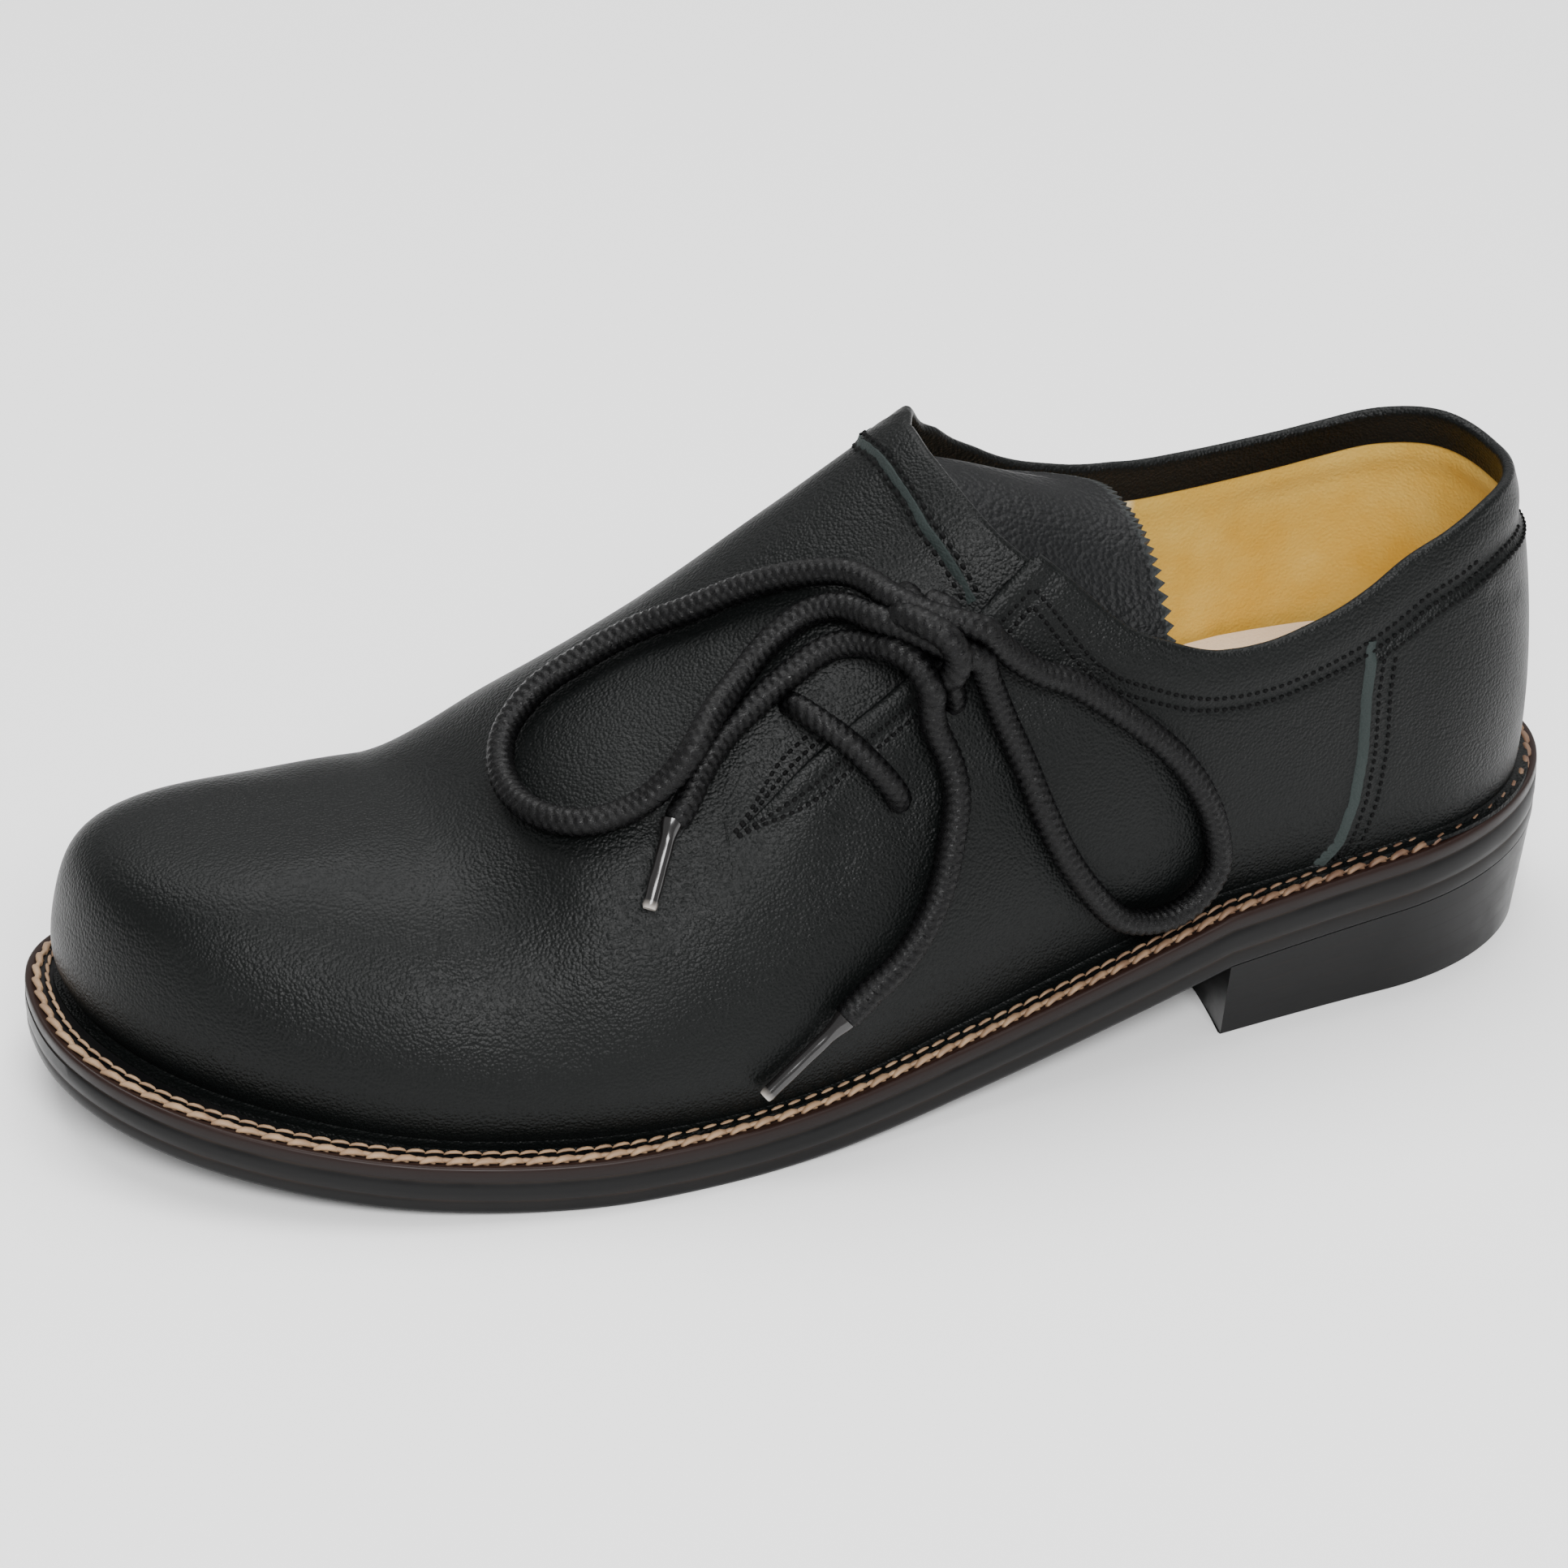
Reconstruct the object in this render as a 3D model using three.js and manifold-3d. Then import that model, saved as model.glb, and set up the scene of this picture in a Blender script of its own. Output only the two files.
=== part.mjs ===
// Haferl shoe for the left foot, laced on its outer side.
// Millimetres. Floor at Z = 0, toe towards -X, outer side of the foot towards -Y.
import * as THREE from 'three';
import Module from 'manifold-3d';

// Sizes that drive the shoe
const SOLE_LENGTH = 302;
const SOLE_WIDTH = 108;
const LAST_LENGTH = 287;
const BALL_WIDTH = 96;
const INSTEP_HEIGHT = 116;
const TOE_SPRING = 12;
const BREAST_HEIGHT = 16.3;
const HEEL_HEIGHT = 22;
const SOLE_FRONT_THICKNESS = 6.9;
const SOLE_REAR_THICKNESS = 9.65;
const OUTSOLE_SHARE = 0.42;
const WELT_THICKNESS = 3;
const WALL = 2.2;
const GAP = 0.3;
const FOOTBED_BEVEL = 3;
const FOOT_GAP = 0.45;
const LACE_DIAMETER = 4.8;
const AGLET_DIAMETER = 4;
const EYELET_DIAMETER = 4.4;
const SIDE_SHIFT = -1.664;

// Where things lie along the sole, as shares of its length from the toe
const FLAT_FROM = 0.335;
const FLAT_TO = 0.385;
const BREAST = 0.727;
const TIP_LIFT_POWER = 2.2;
const ARCH_POWER = 1.6;

// Outlines in plan: half widths are shares of the full width
const SOLE_PLAN = {
  length: SOLE_LENGTH,
  width: SOLE_WIDTH,
  toeCap: 0.246,
  heelCap: 0.151,
  toePower: 2.306,
  heelPower: 1.98,
  swing: 14.9,
  swingEnd: 0.5,
  rows: [
    // along, outer, inner
    [0.00, 0.447, 0.476],
    [0.10, 0.457, 0.476],
    [0.20, 0.485, 0.480],
    [0.30, 0.512, 0.482],
    [0.42, 0.487, 0.463],
    [0.55, 0.433, 0.393],
    [0.62, 0.407, 0.357],
    [0.70, 0.382, 0.343],
    [0.85, 0.342, 0.341],
    [1.00, 0.329, 0.338],
  ],
};
const LAST_PLAN = {
  length: LAST_LENGTH,
  width: BALL_WIDTH,
  toeCap: 0.216,
  heelCap: 0.115,
  toePower: 2.2,
  heelPower: 2.1,
  swing: 20,
  swingEnd: 0.45,
  rows: [
    // along, outer, inner
    [0.00, 0.4525, 0.360],
    [0.10, 0.4500, 0.380],
    [0.20, 0.4825, 0.430],
    [0.30, 0.5050, 0.475],
    [0.38, 0.4975, 0.4675],
    [0.46, 0.4725, 0.425],
    [0.54, 0.4250, 0.370],
    [0.62, 0.3825, 0.330],
    [0.70, 0.3550, 0.310],
    [0.80, 0.3375, 0.315],
    [0.90, 0.3200, 0.320],
    [1.00, 0.3150, 0.320],
  ],
};

// Cross sections of the last: the ridge's height is a share of INSTEP_HEIGHT
const SECTIONS = [
  // along, ridge height, ridge to inner side, outer roundness, inner roundness, outer swell, inner swell
  [0.00, 0.466, 9.0, 6.5, 6.5, 2.5, 2.5],
  [0.08, 0.466, 9.0, 3.6, 4.6, 2.2, 2.5],
  [0.20, 0.468, 9.0, 2.6, 3.7, 2.2, 2.5],
  [0.23, 0.480, 9.0, 2.5, 3.6, 2.5, 2.2],
  [0.26, 0.515, 9.2, 2.4, 3.4, 2.5, 2.0],
  [0.30, 0.591, 9.5, 2.3, 2.8, 3.0, 2.0],
  [0.39, 0.713, 10.0, 2.15, 2.65, 3.0, 1.5],
  [0.48, 0.861, 11.0, 2.0, 2.55, 2.5, 0.0],
  [0.57, 1.009, 11.0, 1.95, 2.45, 2.0, -2.0],
  [0.64, 1.110, 9.0, 2.1, 2.35, 2.0, -2.5],
  [0.72, 1.210, 5.0, 2.3, 2.4, 1.8, -1.0],
  [0.80, 1.270, 2.0, 2.35, 2.4, 1.4, 0.5],
  [0.885, 1.300, 0.0, 2.1, 2.2, 1.2, 1.2],
  [1.00, 1.300, 0.0, 1.9, 1.9, 1.2, 1.2],
];
// The tongue keeps the last's form under the vamp and sinks behind it
const TONGUE_RIDGE = [
  // along, ridge height
  [0.00, 0.466],
  [0.39, 0.713],
  [0.48, 0.861],
  [0.55, 0.965],
  [0.60, 0.945],
  [0.66, 0.900],
  [0.72, 0.860],
  [1.00, 0.800],
];

// Shares of a side's way from the heel's back (0) to the toe's tip (1) where the round ends meet the sides
const HEEL_END = 0.17;
const TOE_START = 0.74;

// Edges drawn on the last: round is the way from heel to toe, up is the way from feather line to ridge
const OUTER_TOPLINE = [
  // round, up
  [0.000, 0.370],
  [0.060, 0.374],
  [0.120, 0.368],
  [0.160, 0.346],
  [0.185, 0.328],
  [0.206, 0.306],
  [0.227, 0.291],
  [0.247, 0.284],
  [0.277, 0.282],
  [0.307, 0.298],
  [0.333, 0.336],
  [0.363, 0.401],
  [0.383, 0.475],
  [0.404, 0.565],
];
const INNER_TOPLINE = [
  // round, up
  [0.000, 0.370],
  [0.064, 0.373],
  [0.116, 0.356],
  [0.162, 0.335],
  [0.204, 0.329],
  [0.246, 0.333],
  [0.289, 0.352],
  [0.332, 0.396],
  [0.383, 0.497],
  [0.410, 0.590],
  [0.432, 0.740],
  [0.445, 1.000],
];
const VAMP_TOP = [
  // share of the edge, round, up
  [0.00, 0.407, 0.578],
  [0.25, 0.425, 0.670],
  [0.50, 0.437, 0.770],
  [0.75, 0.444, 0.885],
  [1.00, 0.445, 1.000],
];
const SLIT = [
  // share of its length from the lower end, round, up
  [0.00, 0.591, 0.485],
  [0.09, 0.574, 0.496],
  [0.26, 0.543, 0.515],
  [0.51, 0.492, 0.526],
  [0.73, 0.452, 0.534],
  [0.87, 0.427, 0.548],
  [1.00, 0.404, 0.565],
];
const SLIT_FOOT = 0.56;
const SLIT_WIDTH_UP = 0.014;
const QUARTER_LAP = 1.3;
const EYELETS = [
  // round, up
  [0.546, 0.628],
  [0.499, 0.379],
  [0.474, 0.660],
  [0.460, 0.455],
];

// Rows of the upper's skin from the feather line to its top edge, as shares of each column
const SKIN_ROWS = [0, 0.14, 0.28, 0.42, 0.52, 0.62, 0.71, 0.79, 0.86, 0.93, 1];
const SLIT_ROW = 3;
const COUNTER_ROW = 7;
const FACING_ROW = 8;
const HEEL_COLUMNS = [0, 0.02, 0.04, 0.062, 0.085, 0.108, 0.13, 0.15, 0.17, 0.188, 0.206];
const QUARTER_COLUMNS = [0.227, 0.247, 0.272, 0.297, 0.32, 0.343, 0.365, 0.385, 0.404];
const INNER_COLUMNS = [0.227, 0.25, 0.28, 0.31, 0.34, 0.37, 0.395, 0.415, 0.432, 0.441];
const RIDGE_COLUMNS = [0.445, 0.475, 0.51, 0.55, 0.59, 0.63, 0.67, 0.705, 0.74];
const TOE_COLUMNS = [0.77, 0.80, 0.83, 0.86, 0.89, 0.92, 0.945, 0.97, 1];
const COUNTER_COLUMN = HEEL_COLUMNS.length - 1;

const LEATHER = { color: 0x1b1c1c, roughness: 0.5, metalness: 0 };
const EDGE = { color: 0x1d1b1a, roughness: 0.45, metalness: 0 };
const WELT_LEATHER = { color: 0x2a1f1a, roughness: 0.6, metalness: 0 };
const INSOLE_LEATHER = { color: 0xd8b9a2, roughness: 0.8, metalness: 0 };
const CORD = { color: 0x121212, roughness: 0.7, metalness: 0 };
const AGLET_PLASTIC = { color: 0x3a3432, roughness: 0.25, metalness: 0 };

// Insole and footbed together: thin under the toes, built up level under the heel
const FOOTBED = [
  // along, thickness over the midsole
  [0.00, 4.6],
  [0.42, 4.6],
  [0.52, 6.0],
  [0.62, 11.0],
  [0.72, 17.5],
  [0.80, 20.8],
  [0.865, 19.2],
  [0.92, 17.2],
  [1.00, 15.0],
];

const HALF_PI = Math.PI / 2;
const clamp01 = (value) => Math.min(1, Math.max(0, value));
const mix = (a, b, share) => a + (b - a) * share;
const power = (value, exponent) => Math.pow(Math.abs(value), exponent);

function smoothStep(from, to, value) {
  const share = clamp01((value - from) / (to - from));
  return share * share * (3 - 2 * share);
}

// Smooth curve through the rows of a table whose first column is the place
function read(table, place) {
  const last = table.length - 1;
  const slope = (row, column) => {
    const rise = table[row + 1][column] - table[row][column];
    return rise / (table[row + 1][0] - table[row][0]);
  };
  const tangent = (row, column) => {
    if (row === 0) return slope(0, column);
    if (row === last) return slope(last - 1, column);
    const before = table[row][0] - table[row - 1][0];
    const after = table[row + 1][0] - table[row][0];
    return (slope(row - 1, column) * after + slope(row, column) * before) / (before + after);
  };
  let row = 0;
  while (row < last - 1 && place >= table[row + 1][0]) row += 1;
  const step = table[row + 1][0] - table[row][0];
  const s = clamp01((place - table[row][0]) / step);
  return table[row].slice(1).map((value, index) => {
    const column = index + 1;
    return (2 * s ** 3 - 3 * s ** 2 + 1) * value
      + (s ** 3 - 2 * s ** 2 + s) * step * tangent(row, column)
      + (3 * s ** 2 - 2 * s ** 3) * table[row + 1][column]
      + (s ** 3 - s ** 2) * step * tangent(row + 1, column);
  });
}

// Underside of the outsole above the floor
function underside(x) {
  const along = x / SOLE_LENGTH + 0.5;
  if (along < FLAT_FROM) return TOE_SPRING * ((FLAT_FROM - along) / FLAT_FROM) ** TIP_LIFT_POWER;
  if (along > BREAST) return mix(BREAST_HEIGHT, HEEL_HEIGHT, (along - BREAST) / (1 - BREAST));
  return BREAST_HEIGHT * clamp01((along - FLAT_TO) / (BREAST - FLAT_TO)) ** ARCH_POWER;
}

function soleThickness(x) {
  const along = x / SOLE_LENGTH + 0.5;
  return mix(SOLE_FRONT_THICKNESS, SOLE_REAR_THICKNESS, clamp01((along - 0.35) / 0.65));
}

const weltTop = (x) => underside(x) + soleThickness(x) + WELT_THICKNESS;

// Point of an outline in plan. side is -1 on the outer side and 1 on the inner side
function outlinePoint(plan, side, round) {
  const front = -plan.length / 2 + (plan === LAST_PLAN ? 1 : 0);
  const toe = plan.toeCap * plan.length;
  const heel = plan.heelCap * plan.length;
  const toeCentre = front + toe;
  const heelCentre = front + plan.length - heel;
  const heelAngle = clamp01(round / HEEL_END) * HALF_PI;
  const toeAngle = clamp01((1 - round) / (1 - TOE_START)) * HALF_PI;
  let x = mix(heelCentre, toeCentre, (round - HEEL_END) / (TOE_START - HEEL_END));
  let cap = 1;
  if (round < HEEL_END) {
    x = heelCentre + heel * power(Math.cos(heelAngle), 2 / plan.heelPower);
    cap = power(Math.sin(heelAngle), 2 / plan.heelPower);
  }
  if (round > TOE_START) {
    x = toeCentre - toe * power(Math.cos(toeAngle), 2 / plan.toePower);
    cap = power(Math.sin(toeAngle), 2 / plan.toePower);
  }
  const along = (x - front) / plan.length;
  const [outer, inner] = read(plan.rows, along);
  const middle = plan.swing * clamp01(1 - along / plan.swingEnd) ** 2;
  const y = middle + side * (side < 0 ? outer : inner) * plan.width * cap;
  return { x, y, along, toeCentre, heelCentre };
}

// The same outline moved inwards by inset
function insetPoint(plan, side, round, inset) {
  const here = outlinePoint(plan, side, round);
  if (inset === 0) return here;
  const step = 0.002;
  const before = outlinePoint(plan, side, Math.max(0, round - step));
  const after = outlinePoint(plan, side, Math.min(1, round + step));
  let dx = after.x - before.x;
  let dy = after.y - before.y;
  if (round === 0 || round === 1) {
    dx = 0;
    dy = 1;
  }
  const length = Math.hypot(dx, dy);
  const inwards = round === 1 ? [1, 0] : round === 0 ? [-1, 0] : [-side * dy / length, side * dx / length];
  return { ...here, x: here.x + inwards[0] * inset, y: here.y + inwards[1] * inset };
}

// Point of the last's surface
function lastPoint(side, round, up, ridge = null) {
  const foot = outlinePoint(LAST_PLAN, side, round);
  const z = weltTop(foot.x) + FOOT_GAP;
  const ridgeX = Math.min(foot.heelCentre, Math.max(foot.toeCentre, foot.x));
  const front = -LAST_LENGTH / 2 + 1;
  const ridgeAlong = (ridgeX - front) / LAST_LENGTH;
  const top = read(SECTIONS, ridgeAlong);
  const section = read(SECTIONS, foot.along);
  const ridgeZ = (ridge ? read(ridge, ridgeAlong)[0] : top[0]) * INSTEP_HEIGHT;
  const roundness = side < 0 ? section[2] : section[3];
  const swell = side < 0 ? section[4] : section[5];
  const angle = up * HALF_PI;
  const reach = (power(Math.cos(angle), roundness) + power(Math.sin(angle), roundness)) ** (-1 / roundness);
  const out = reach * Math.cos(angle);
  const rise = reach * Math.sin(angle);
  const dx = foot.x - ridgeX;
  const dy = foot.y - top[1];
  const radius = Math.hypot(dx, dy) + 1e-9;
  const scale = out + swell * rise * (1 - rise) ** 3 * 9.48 / radius;
  return new THREE.Vector3(ridgeX + dx * scale, top[1] + dy * scale, mix(z, ridgeZ, rise));
}

// Point at a height over the last. up may run past the ridge to the inner side
function overLast(side, round, up, height, ridge = null) {
  if (up > 1) return overLast(-side, round, 2 - up, height, ridge);
  const step = 0.002;
  const point = lastPoint(side, round, up, ridge);
  const alongRound = lastPoint(side, Math.min(1, round + step), up, ridge)
    .sub(lastPoint(side, Math.max(0, round - step), up, ridge));
  const alongUp = lastPoint(side, round, Math.min(1, up + step), ridge)
    .sub(lastPoint(side, round, Math.max(0, up - step), ridge));
  if (up > 0.999) alongUp.set(0, -side, 0);
  const normal = alongRound.cross(alongUp).normalize();
  if (side < 0) normal.negate();
  return point.addScaledVector(normal, height);
}

// Collects triangles with shared vertices merged
class Body {
  constructor() {
    this.points = [];
    this.places = new Map();
    this.faces = [];
  }

  vertex(point) {
    const key = [point.x, point.y, point.z].map((value) => Math.round(value * 500)).join(' ');
    if (!this.places.has(key)) {
      this.places.set(key, this.points.length);
      this.points.push(point.clone());
    }
    return this.places.get(key);
  }

  triangle(a, b, c) {
    if (a !== b && b !== c && a !== c) this.faces.push([a, b, c]);
  }

  quad(a, b, c, d) {
    const size = (i, j) => this.points[i].distanceToSquared(this.points[j]);
    if (size(a, c) <= size(b, d)) {
      this.triangle(a, b, c);
      this.triangle(a, c, d);
    } else {
      this.triangle(a, b, d);
      this.triangle(b, c, d);
    }
  }

  geometry() {
    let volume = 0;
    for (const [a, b, c] of this.faces) {
      volume += this.points[a].dot(this.points[b].clone().cross(this.points[c]));
    }
    const faces = volume < 0 ? this.faces.map(([a, b, c]) => [a, c, b]) : this.faces;
    const geometry = new THREE.BufferGeometry();
    const positions = this.points.flatMap((point) => [point.x, point.y, point.z]);
    geometry.setAttribute('position', new THREE.Float32BufferAttribute(positions, 3));
    geometry.setIndex(faces.flat());
    geometry.computeVertexNormals();
    return geometry;
  }
}

// Closed solid between two grids of the same size
function gridSolid(rows, columns, topAt, bottomAt) {
  const body = new Body();
  const grid = (at) => Array.from({ length: rows + 1 }, (_, row) =>
    Array.from({ length: columns + 1 }, (__, column) => body.vertex(at(row, column))));
  const top = grid(topAt);
  const bottom = grid(bottomAt);
  for (let row = 0; row < rows; row += 1) {
    for (let column = 0; column < columns; column += 1) {
      body.quad(top[row][column], top[row + 1][column], top[row + 1][column + 1], top[row][column + 1]);
      body.quad(bottom[row][column], bottom[row][column + 1], bottom[row + 1][column + 1], bottom[row + 1][column]);
    }
  }
  const edge = [];
  for (let column = 0; column < columns; column += 1) edge.push([0, column]);
  for (let row = 0; row < rows; row += 1) edge.push([row, columns]);
  for (let column = columns; column > 0; column -= 1) edge.push([rows, column]);
  for (let row = rows; row > 0; row -= 1) edge.push([row, 0]);
  edge.forEach(([row, column], index) => {
    const [nextRow, nextColumn] = edge[(index + 1) % edge.length];
    body.quad(top[row][column], top[nextRow][nextColumn], bottom[nextRow][nextColumn], bottom[row][column]);
  });
  return body.geometry();
}

// Stations round one side, close together at the ends, with the heel breast and both ends of the flat tread
function soleStations(from = 0, to = 1) {
  const marks = [BREAST, FLAT_TO, FLAT_FROM].map((along) => {
    const share = (1 - SOLE_PLAN.heelCap - along) / (1 - SOLE_PLAN.heelCap - SOLE_PLAN.toeCap);
    return mix(HEEL_END, TOE_START, share);
  });
  const even = Array.from({ length: 33 }, (_, index) => {
    const share = index / 32;
    return share < 0.25 ? HEEL_END * share / 0.25
      : share > 0.68 ? mix(TOE_START, 1, (share - 0.68) / 0.32)
        : mix(HEEL_END, TOE_START, (share - 0.25) / 0.43);
  });
  const all = [...even, ...marks].filter((round) => round >= from && round <= to);
  return all.sort((a, b) => a - b).filter((round, index) => index === 0 || round - all[index - 1] > 1e-4);
}

// Flat layer of the sole between two heights that follow x
function soleLayer(plan, inset, bottomZ, topZ, topInset = inset) {
  const stations = soleStations();
  const at = (height, margin) => (row, column) => {
    const side = column === 0 ? -1 : 1;
    const point = insetPoint(plan, side, stations[row], margin);
    return new THREE.Vector3(point.x, point.y, height(point.x));
  };
  return gridSolid(stations.length - 1, 1, at(topZ, topInset), at(bottomZ, inset));
}

const layerSplit = (x) => underside(x) + soleThickness(x) * OUTSOLE_SHARE;
const midsoleTop = (x) => underside(x) + soleThickness(x);

function outsole() {
  return soleLayer(SOLE_PLAN, 0, underside, (x) => layerSplit(x) - GAP / 2);
}

function midsole() {
  return soleLayer(SOLE_PLAN, 0.35, (x) => layerSplit(x) + GAP / 2, (x) => midsoleTop(x) - GAP / 2);
}

function insole() {
  const inset = WALL + 0.9;
  const top = (x) => midsoleTop(x) + read(FOOTBED, x / SOLE_LENGTH + 0.5)[0];
  return soleLayer(LAST_PLAN, inset, (x) => midsoleTop(x) + GAP / 2, top, inset + FOOTBED_BEVEL);
}

// Ring between the sole's edge and the foot of the upper's wall
function welt() {
  const body = new Body();
  const stations = soleStations();
  const ring = (plan, inset, height) => {
    const point = (side, round) => {
      const place = insetPoint(plan, side, round, inset);
      return body.vertex(new THREE.Vector3(place.x, place.y, height(place.x)));
    };
    const outer = stations.map((round) => point(-1, round));
    const inner = stations.slice(1, -1).reverse().map((round) => point(1, round));
    return [...outer, ...inner];
  };
  const low = (x) => midsoleTop(x) + GAP / 2;
  const edge = [
    ring(SOLE_PLAN, 1.1, low),
    ring(SOLE_PLAN, 1.1, weltTop),
    ring(LAST_PLAN, WALL + 0.2, weltTop),
    ring(LAST_PLAN, WALL + 0.2, low),
  ];
  const count = edge[0].length;
  for (let index = 0; index < count; index += 1) {
    const next = (index + 1) % count;
    for (let side = 0; side < 4; side += 1) {
      const other = (side + 1) % 4;
      body.quad(edge[side][index], edge[side][next], edge[other][next], edge[other][index]);
    }
  }
  return body.geometry();
}

// Stacked heel with a hollow front face and a back that leans in towards the floor
function heel() {
  const breastX = (BREAST - 0.5) * SOLE_LENGTH;
  const centre = SOLE_LENGTH / 2 - SOLE_PLAN.heelCap * SOLE_LENGTH;
  const toeCentre = (SOLE_PLAN.toeCap - 0.5) * SOLE_LENGTH;
  const breastRound = mix(HEEL_END, TOE_START, (centre - breastX) / (centre - toeCentre));
  const stations = [breastRound, 0.235, 0.2, ...soleStations(0, HEEL_END).reverse()];
  const across = 8;
  const at = (inset, height) => (row, column) => {
    const share = column / across;
    const outer = insetPoint(SOLE_PLAN, -1, stations[row], inset);
    const inner = insetPoint(SOLE_PLAN, 1, stations[row], inset);
    const hollow = 3 * 4 * share * (1 - share) * (row === 0 ? 1 : 0);
    const x = mix(outer.x, inner.x, share) + hollow;
    return new THREE.Vector3(x, mix(outer.y, inner.y, share), height(x));
  };
  const top = at(0.7, (x) => underside(x) - GAP);
  const bottom = at(2.4, () => 0);
  return gridSolid(stations.length - 1, across, top, bottom);
}

// The slit's line and the way down from it to the feather line
function slitLine(share) {
  const low = SKIN_ROWS[SLIT_ROW];
  if (share <= low) {
    const [round, up] = read(SLIT, 0);
    return [mix(SLIT_FOOT, round, share / low), up * share / low];
  }
  return read(SLIT, (share - low) / (1 - low));
}

// Columns of the skin: each gives its place on the last for a share of its height
function skinColumns() {
  const quarterTops = [...HEEL_COLUMNS, ...QUARTER_COLUMNS];
  const lean = SLIT_FOOT - 0.404;
  const columns = [];
  quarterTops.forEach((topRound) => {
    const s = topRound / 0.404;
    const foot = topRound + lean * s ** 2.3;
    const topUp = read(OUTER_TOPLINE, topRound)[0];
    columns.push((share) => {
      const slit = slitLine(share);
      const weight = s ** 3;
      const round = mix(foot, topRound, share) + weight * (slit[0] - mix(SLIT_FOOT, 0.404, share));
      const up = topUp * share + weight * (slit[1] - 0.565 * share);
      const lap = QUARTER_LAP * smoothStep(0.8, 1, s) * smoothStep(0.42, 0.6, share);
      return { side: -1, round, up, lap };
    });
  });
  const slitColumn = columns.length;
  const vamp = [];
  for (let index = 0; index <= 5; index += 1) {
    const [round, up] = read(VAMP_TOP, index / 5);
    vamp.push([round, up, mix(SLIT_FOOT, 0.62, index / 5)]);
  }
  const feet = RIDGE_COLUMNS.map((_, index) => mix(0.62, 0.74, index / (RIDGE_COLUMNS.length - 1)));
  RIDGE_COLUMNS.slice(1).forEach((round, index) => vamp.push([round, 1, feet[index + 1]]));
  vamp.forEach(([topRound, topUp, foot], index) => {
    const s = index / (vamp.length - 1);
    const weight = (1 - s) ** 1.5;
    columns.push((share) => {
      const slit = slitLine(share);
      const rise = smoothStep(0.42, 1, share);
      const open = index === 0 ? smoothStep(0.42, 0.5, share) * (1 - rise) : 0;
      const lean = slit[0] - mix(SLIT_FOOT, vamp[0][0], share) + (vamp[0][0] - 0.404) * rise;
      const lift = slit[1] - vamp[0][1] * share + (vamp[0][1] - 0.565) * rise;
      const round = mix(foot, topRound, share) + weight * lean + 0.003 * open;
      return { side: -1, round, up: topUp * share + weight * lift + SLIT_WIDTH_UP * open, lap: 0 };
    });
  });
  TOE_COLUMNS.forEach((round) => columns.push((share) => ({ side: -1, round, up: share, lap: 0 })));
  const inner = [...TOE_COLUMNS].reverse().slice(1).map((round) => [round, 1, round]);
  const lowered = [...RIDGE_COLUMNS].reverse();
  lowered.forEach((round) => inner.push([round, 1, mix(0.74, 0.52, (0.74 - round) / 0.295)]));
  [...HEEL_COLUMNS, ...INNER_COLUMNS].reverse().forEach((round) => {
    inner.push([round, read(INNER_TOPLINE, round)[0], round + 0.075 * (round / 0.445) ** 2.3]);
  });
  inner.forEach(([topRound, topUp, foot]) => {
    columns.push((share) => ({ side: 1, round: mix(foot, topRound, share), up: topUp * share, lap: 0 }));
  });
  return { columns, slitColumn };
}

const SKIN = (() => {
  const { columns, slitColumn } = skinColumns();
  const body = new Body();
  const grid = columns.map((column) => SKIN_ROWS.map((share) => {
    const place = column(share);
    return body.vertex(overLast(place.side, place.round, place.up, place.lap));
  }));
  const faces = [];
  for (let column = 0; column < grid.length - 1; column += 1) {
    if (column === slitColumn - 1) continue;
    for (let row = 0; row < SKIN_ROWS.length - 1; row += 1) {
      const before = body.faces.length;
      body.quad(grid[column][row], grid[column + 1][row], grid[column + 1][row + 1], grid[column][row + 1]);
      body.faces.slice(before).forEach((face) => faces.push({ face, column, row }));
    }
  }
  const normals = body.points.map(() => new THREE.Vector3());
  faces.forEach(({ face: [a, b, c] }) => {
    const ab = body.points[b].clone().sub(body.points[a]);
    const ac = body.points[c].clone().sub(body.points[a]);
    const normal = ab.cross(ac);
    [a, b, c].forEach((index) => normals[index].add(normal));
  });
  grid.forEach((column) => normals[column[0]].setZ(0));
  normals.forEach((normal) => normal.normalize());
  const middle = new THREE.Vector3(0, 0, 50);
  const first = grid[0][1];
  const outwards = normals[first].dot(body.points[first].clone().sub(middle)) > 0;
  if (!outwards) normals.forEach((normal) => normal.negate());
  return { points: body.points, normals, faces, columnCount: grid.length };
})();

// Shell over a part of the skin, between two heights over it
function skinShell(keep, low, high) {
  const body = new Body();
  const sides = new Map();
  const count = new Map();
  const kept = SKIN.faces.filter(({ column, row }) => keep(column, row));
  kept.forEach(({ face }) => face.forEach((index) => {
    if (sides.has(index)) return;
    const at = (height) => body.vertex(SKIN.points[index].clone().addScaledVector(SKIN.normals[index], height));
    sides.set(index, { inside: at(low), outside: at(high) });
  }));
  kept.forEach(({ face }) => {
    const [a, b, c] = face.map((index) => sides.get(index));
    body.triangle(a.outside, b.outside, c.outside);
    body.triangle(a.inside, c.inside, b.inside);
    face.forEach((index, place) => {
      const next = face[(place + 1) % 3];
      const key = index < next ? `${index} ${next}` : `${next} ${index}`;
      if (count.has(key)) count.delete(key);
      else count.set(key, [index, next]);
    });
  });
  count.forEach(([from, to]) => {
    const a = sides.get(from);
    const b = sides.get(to);
    body.quad(a.inside, b.inside, b.outside, a.outside);
  });
  return body.geometry();
}

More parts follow.
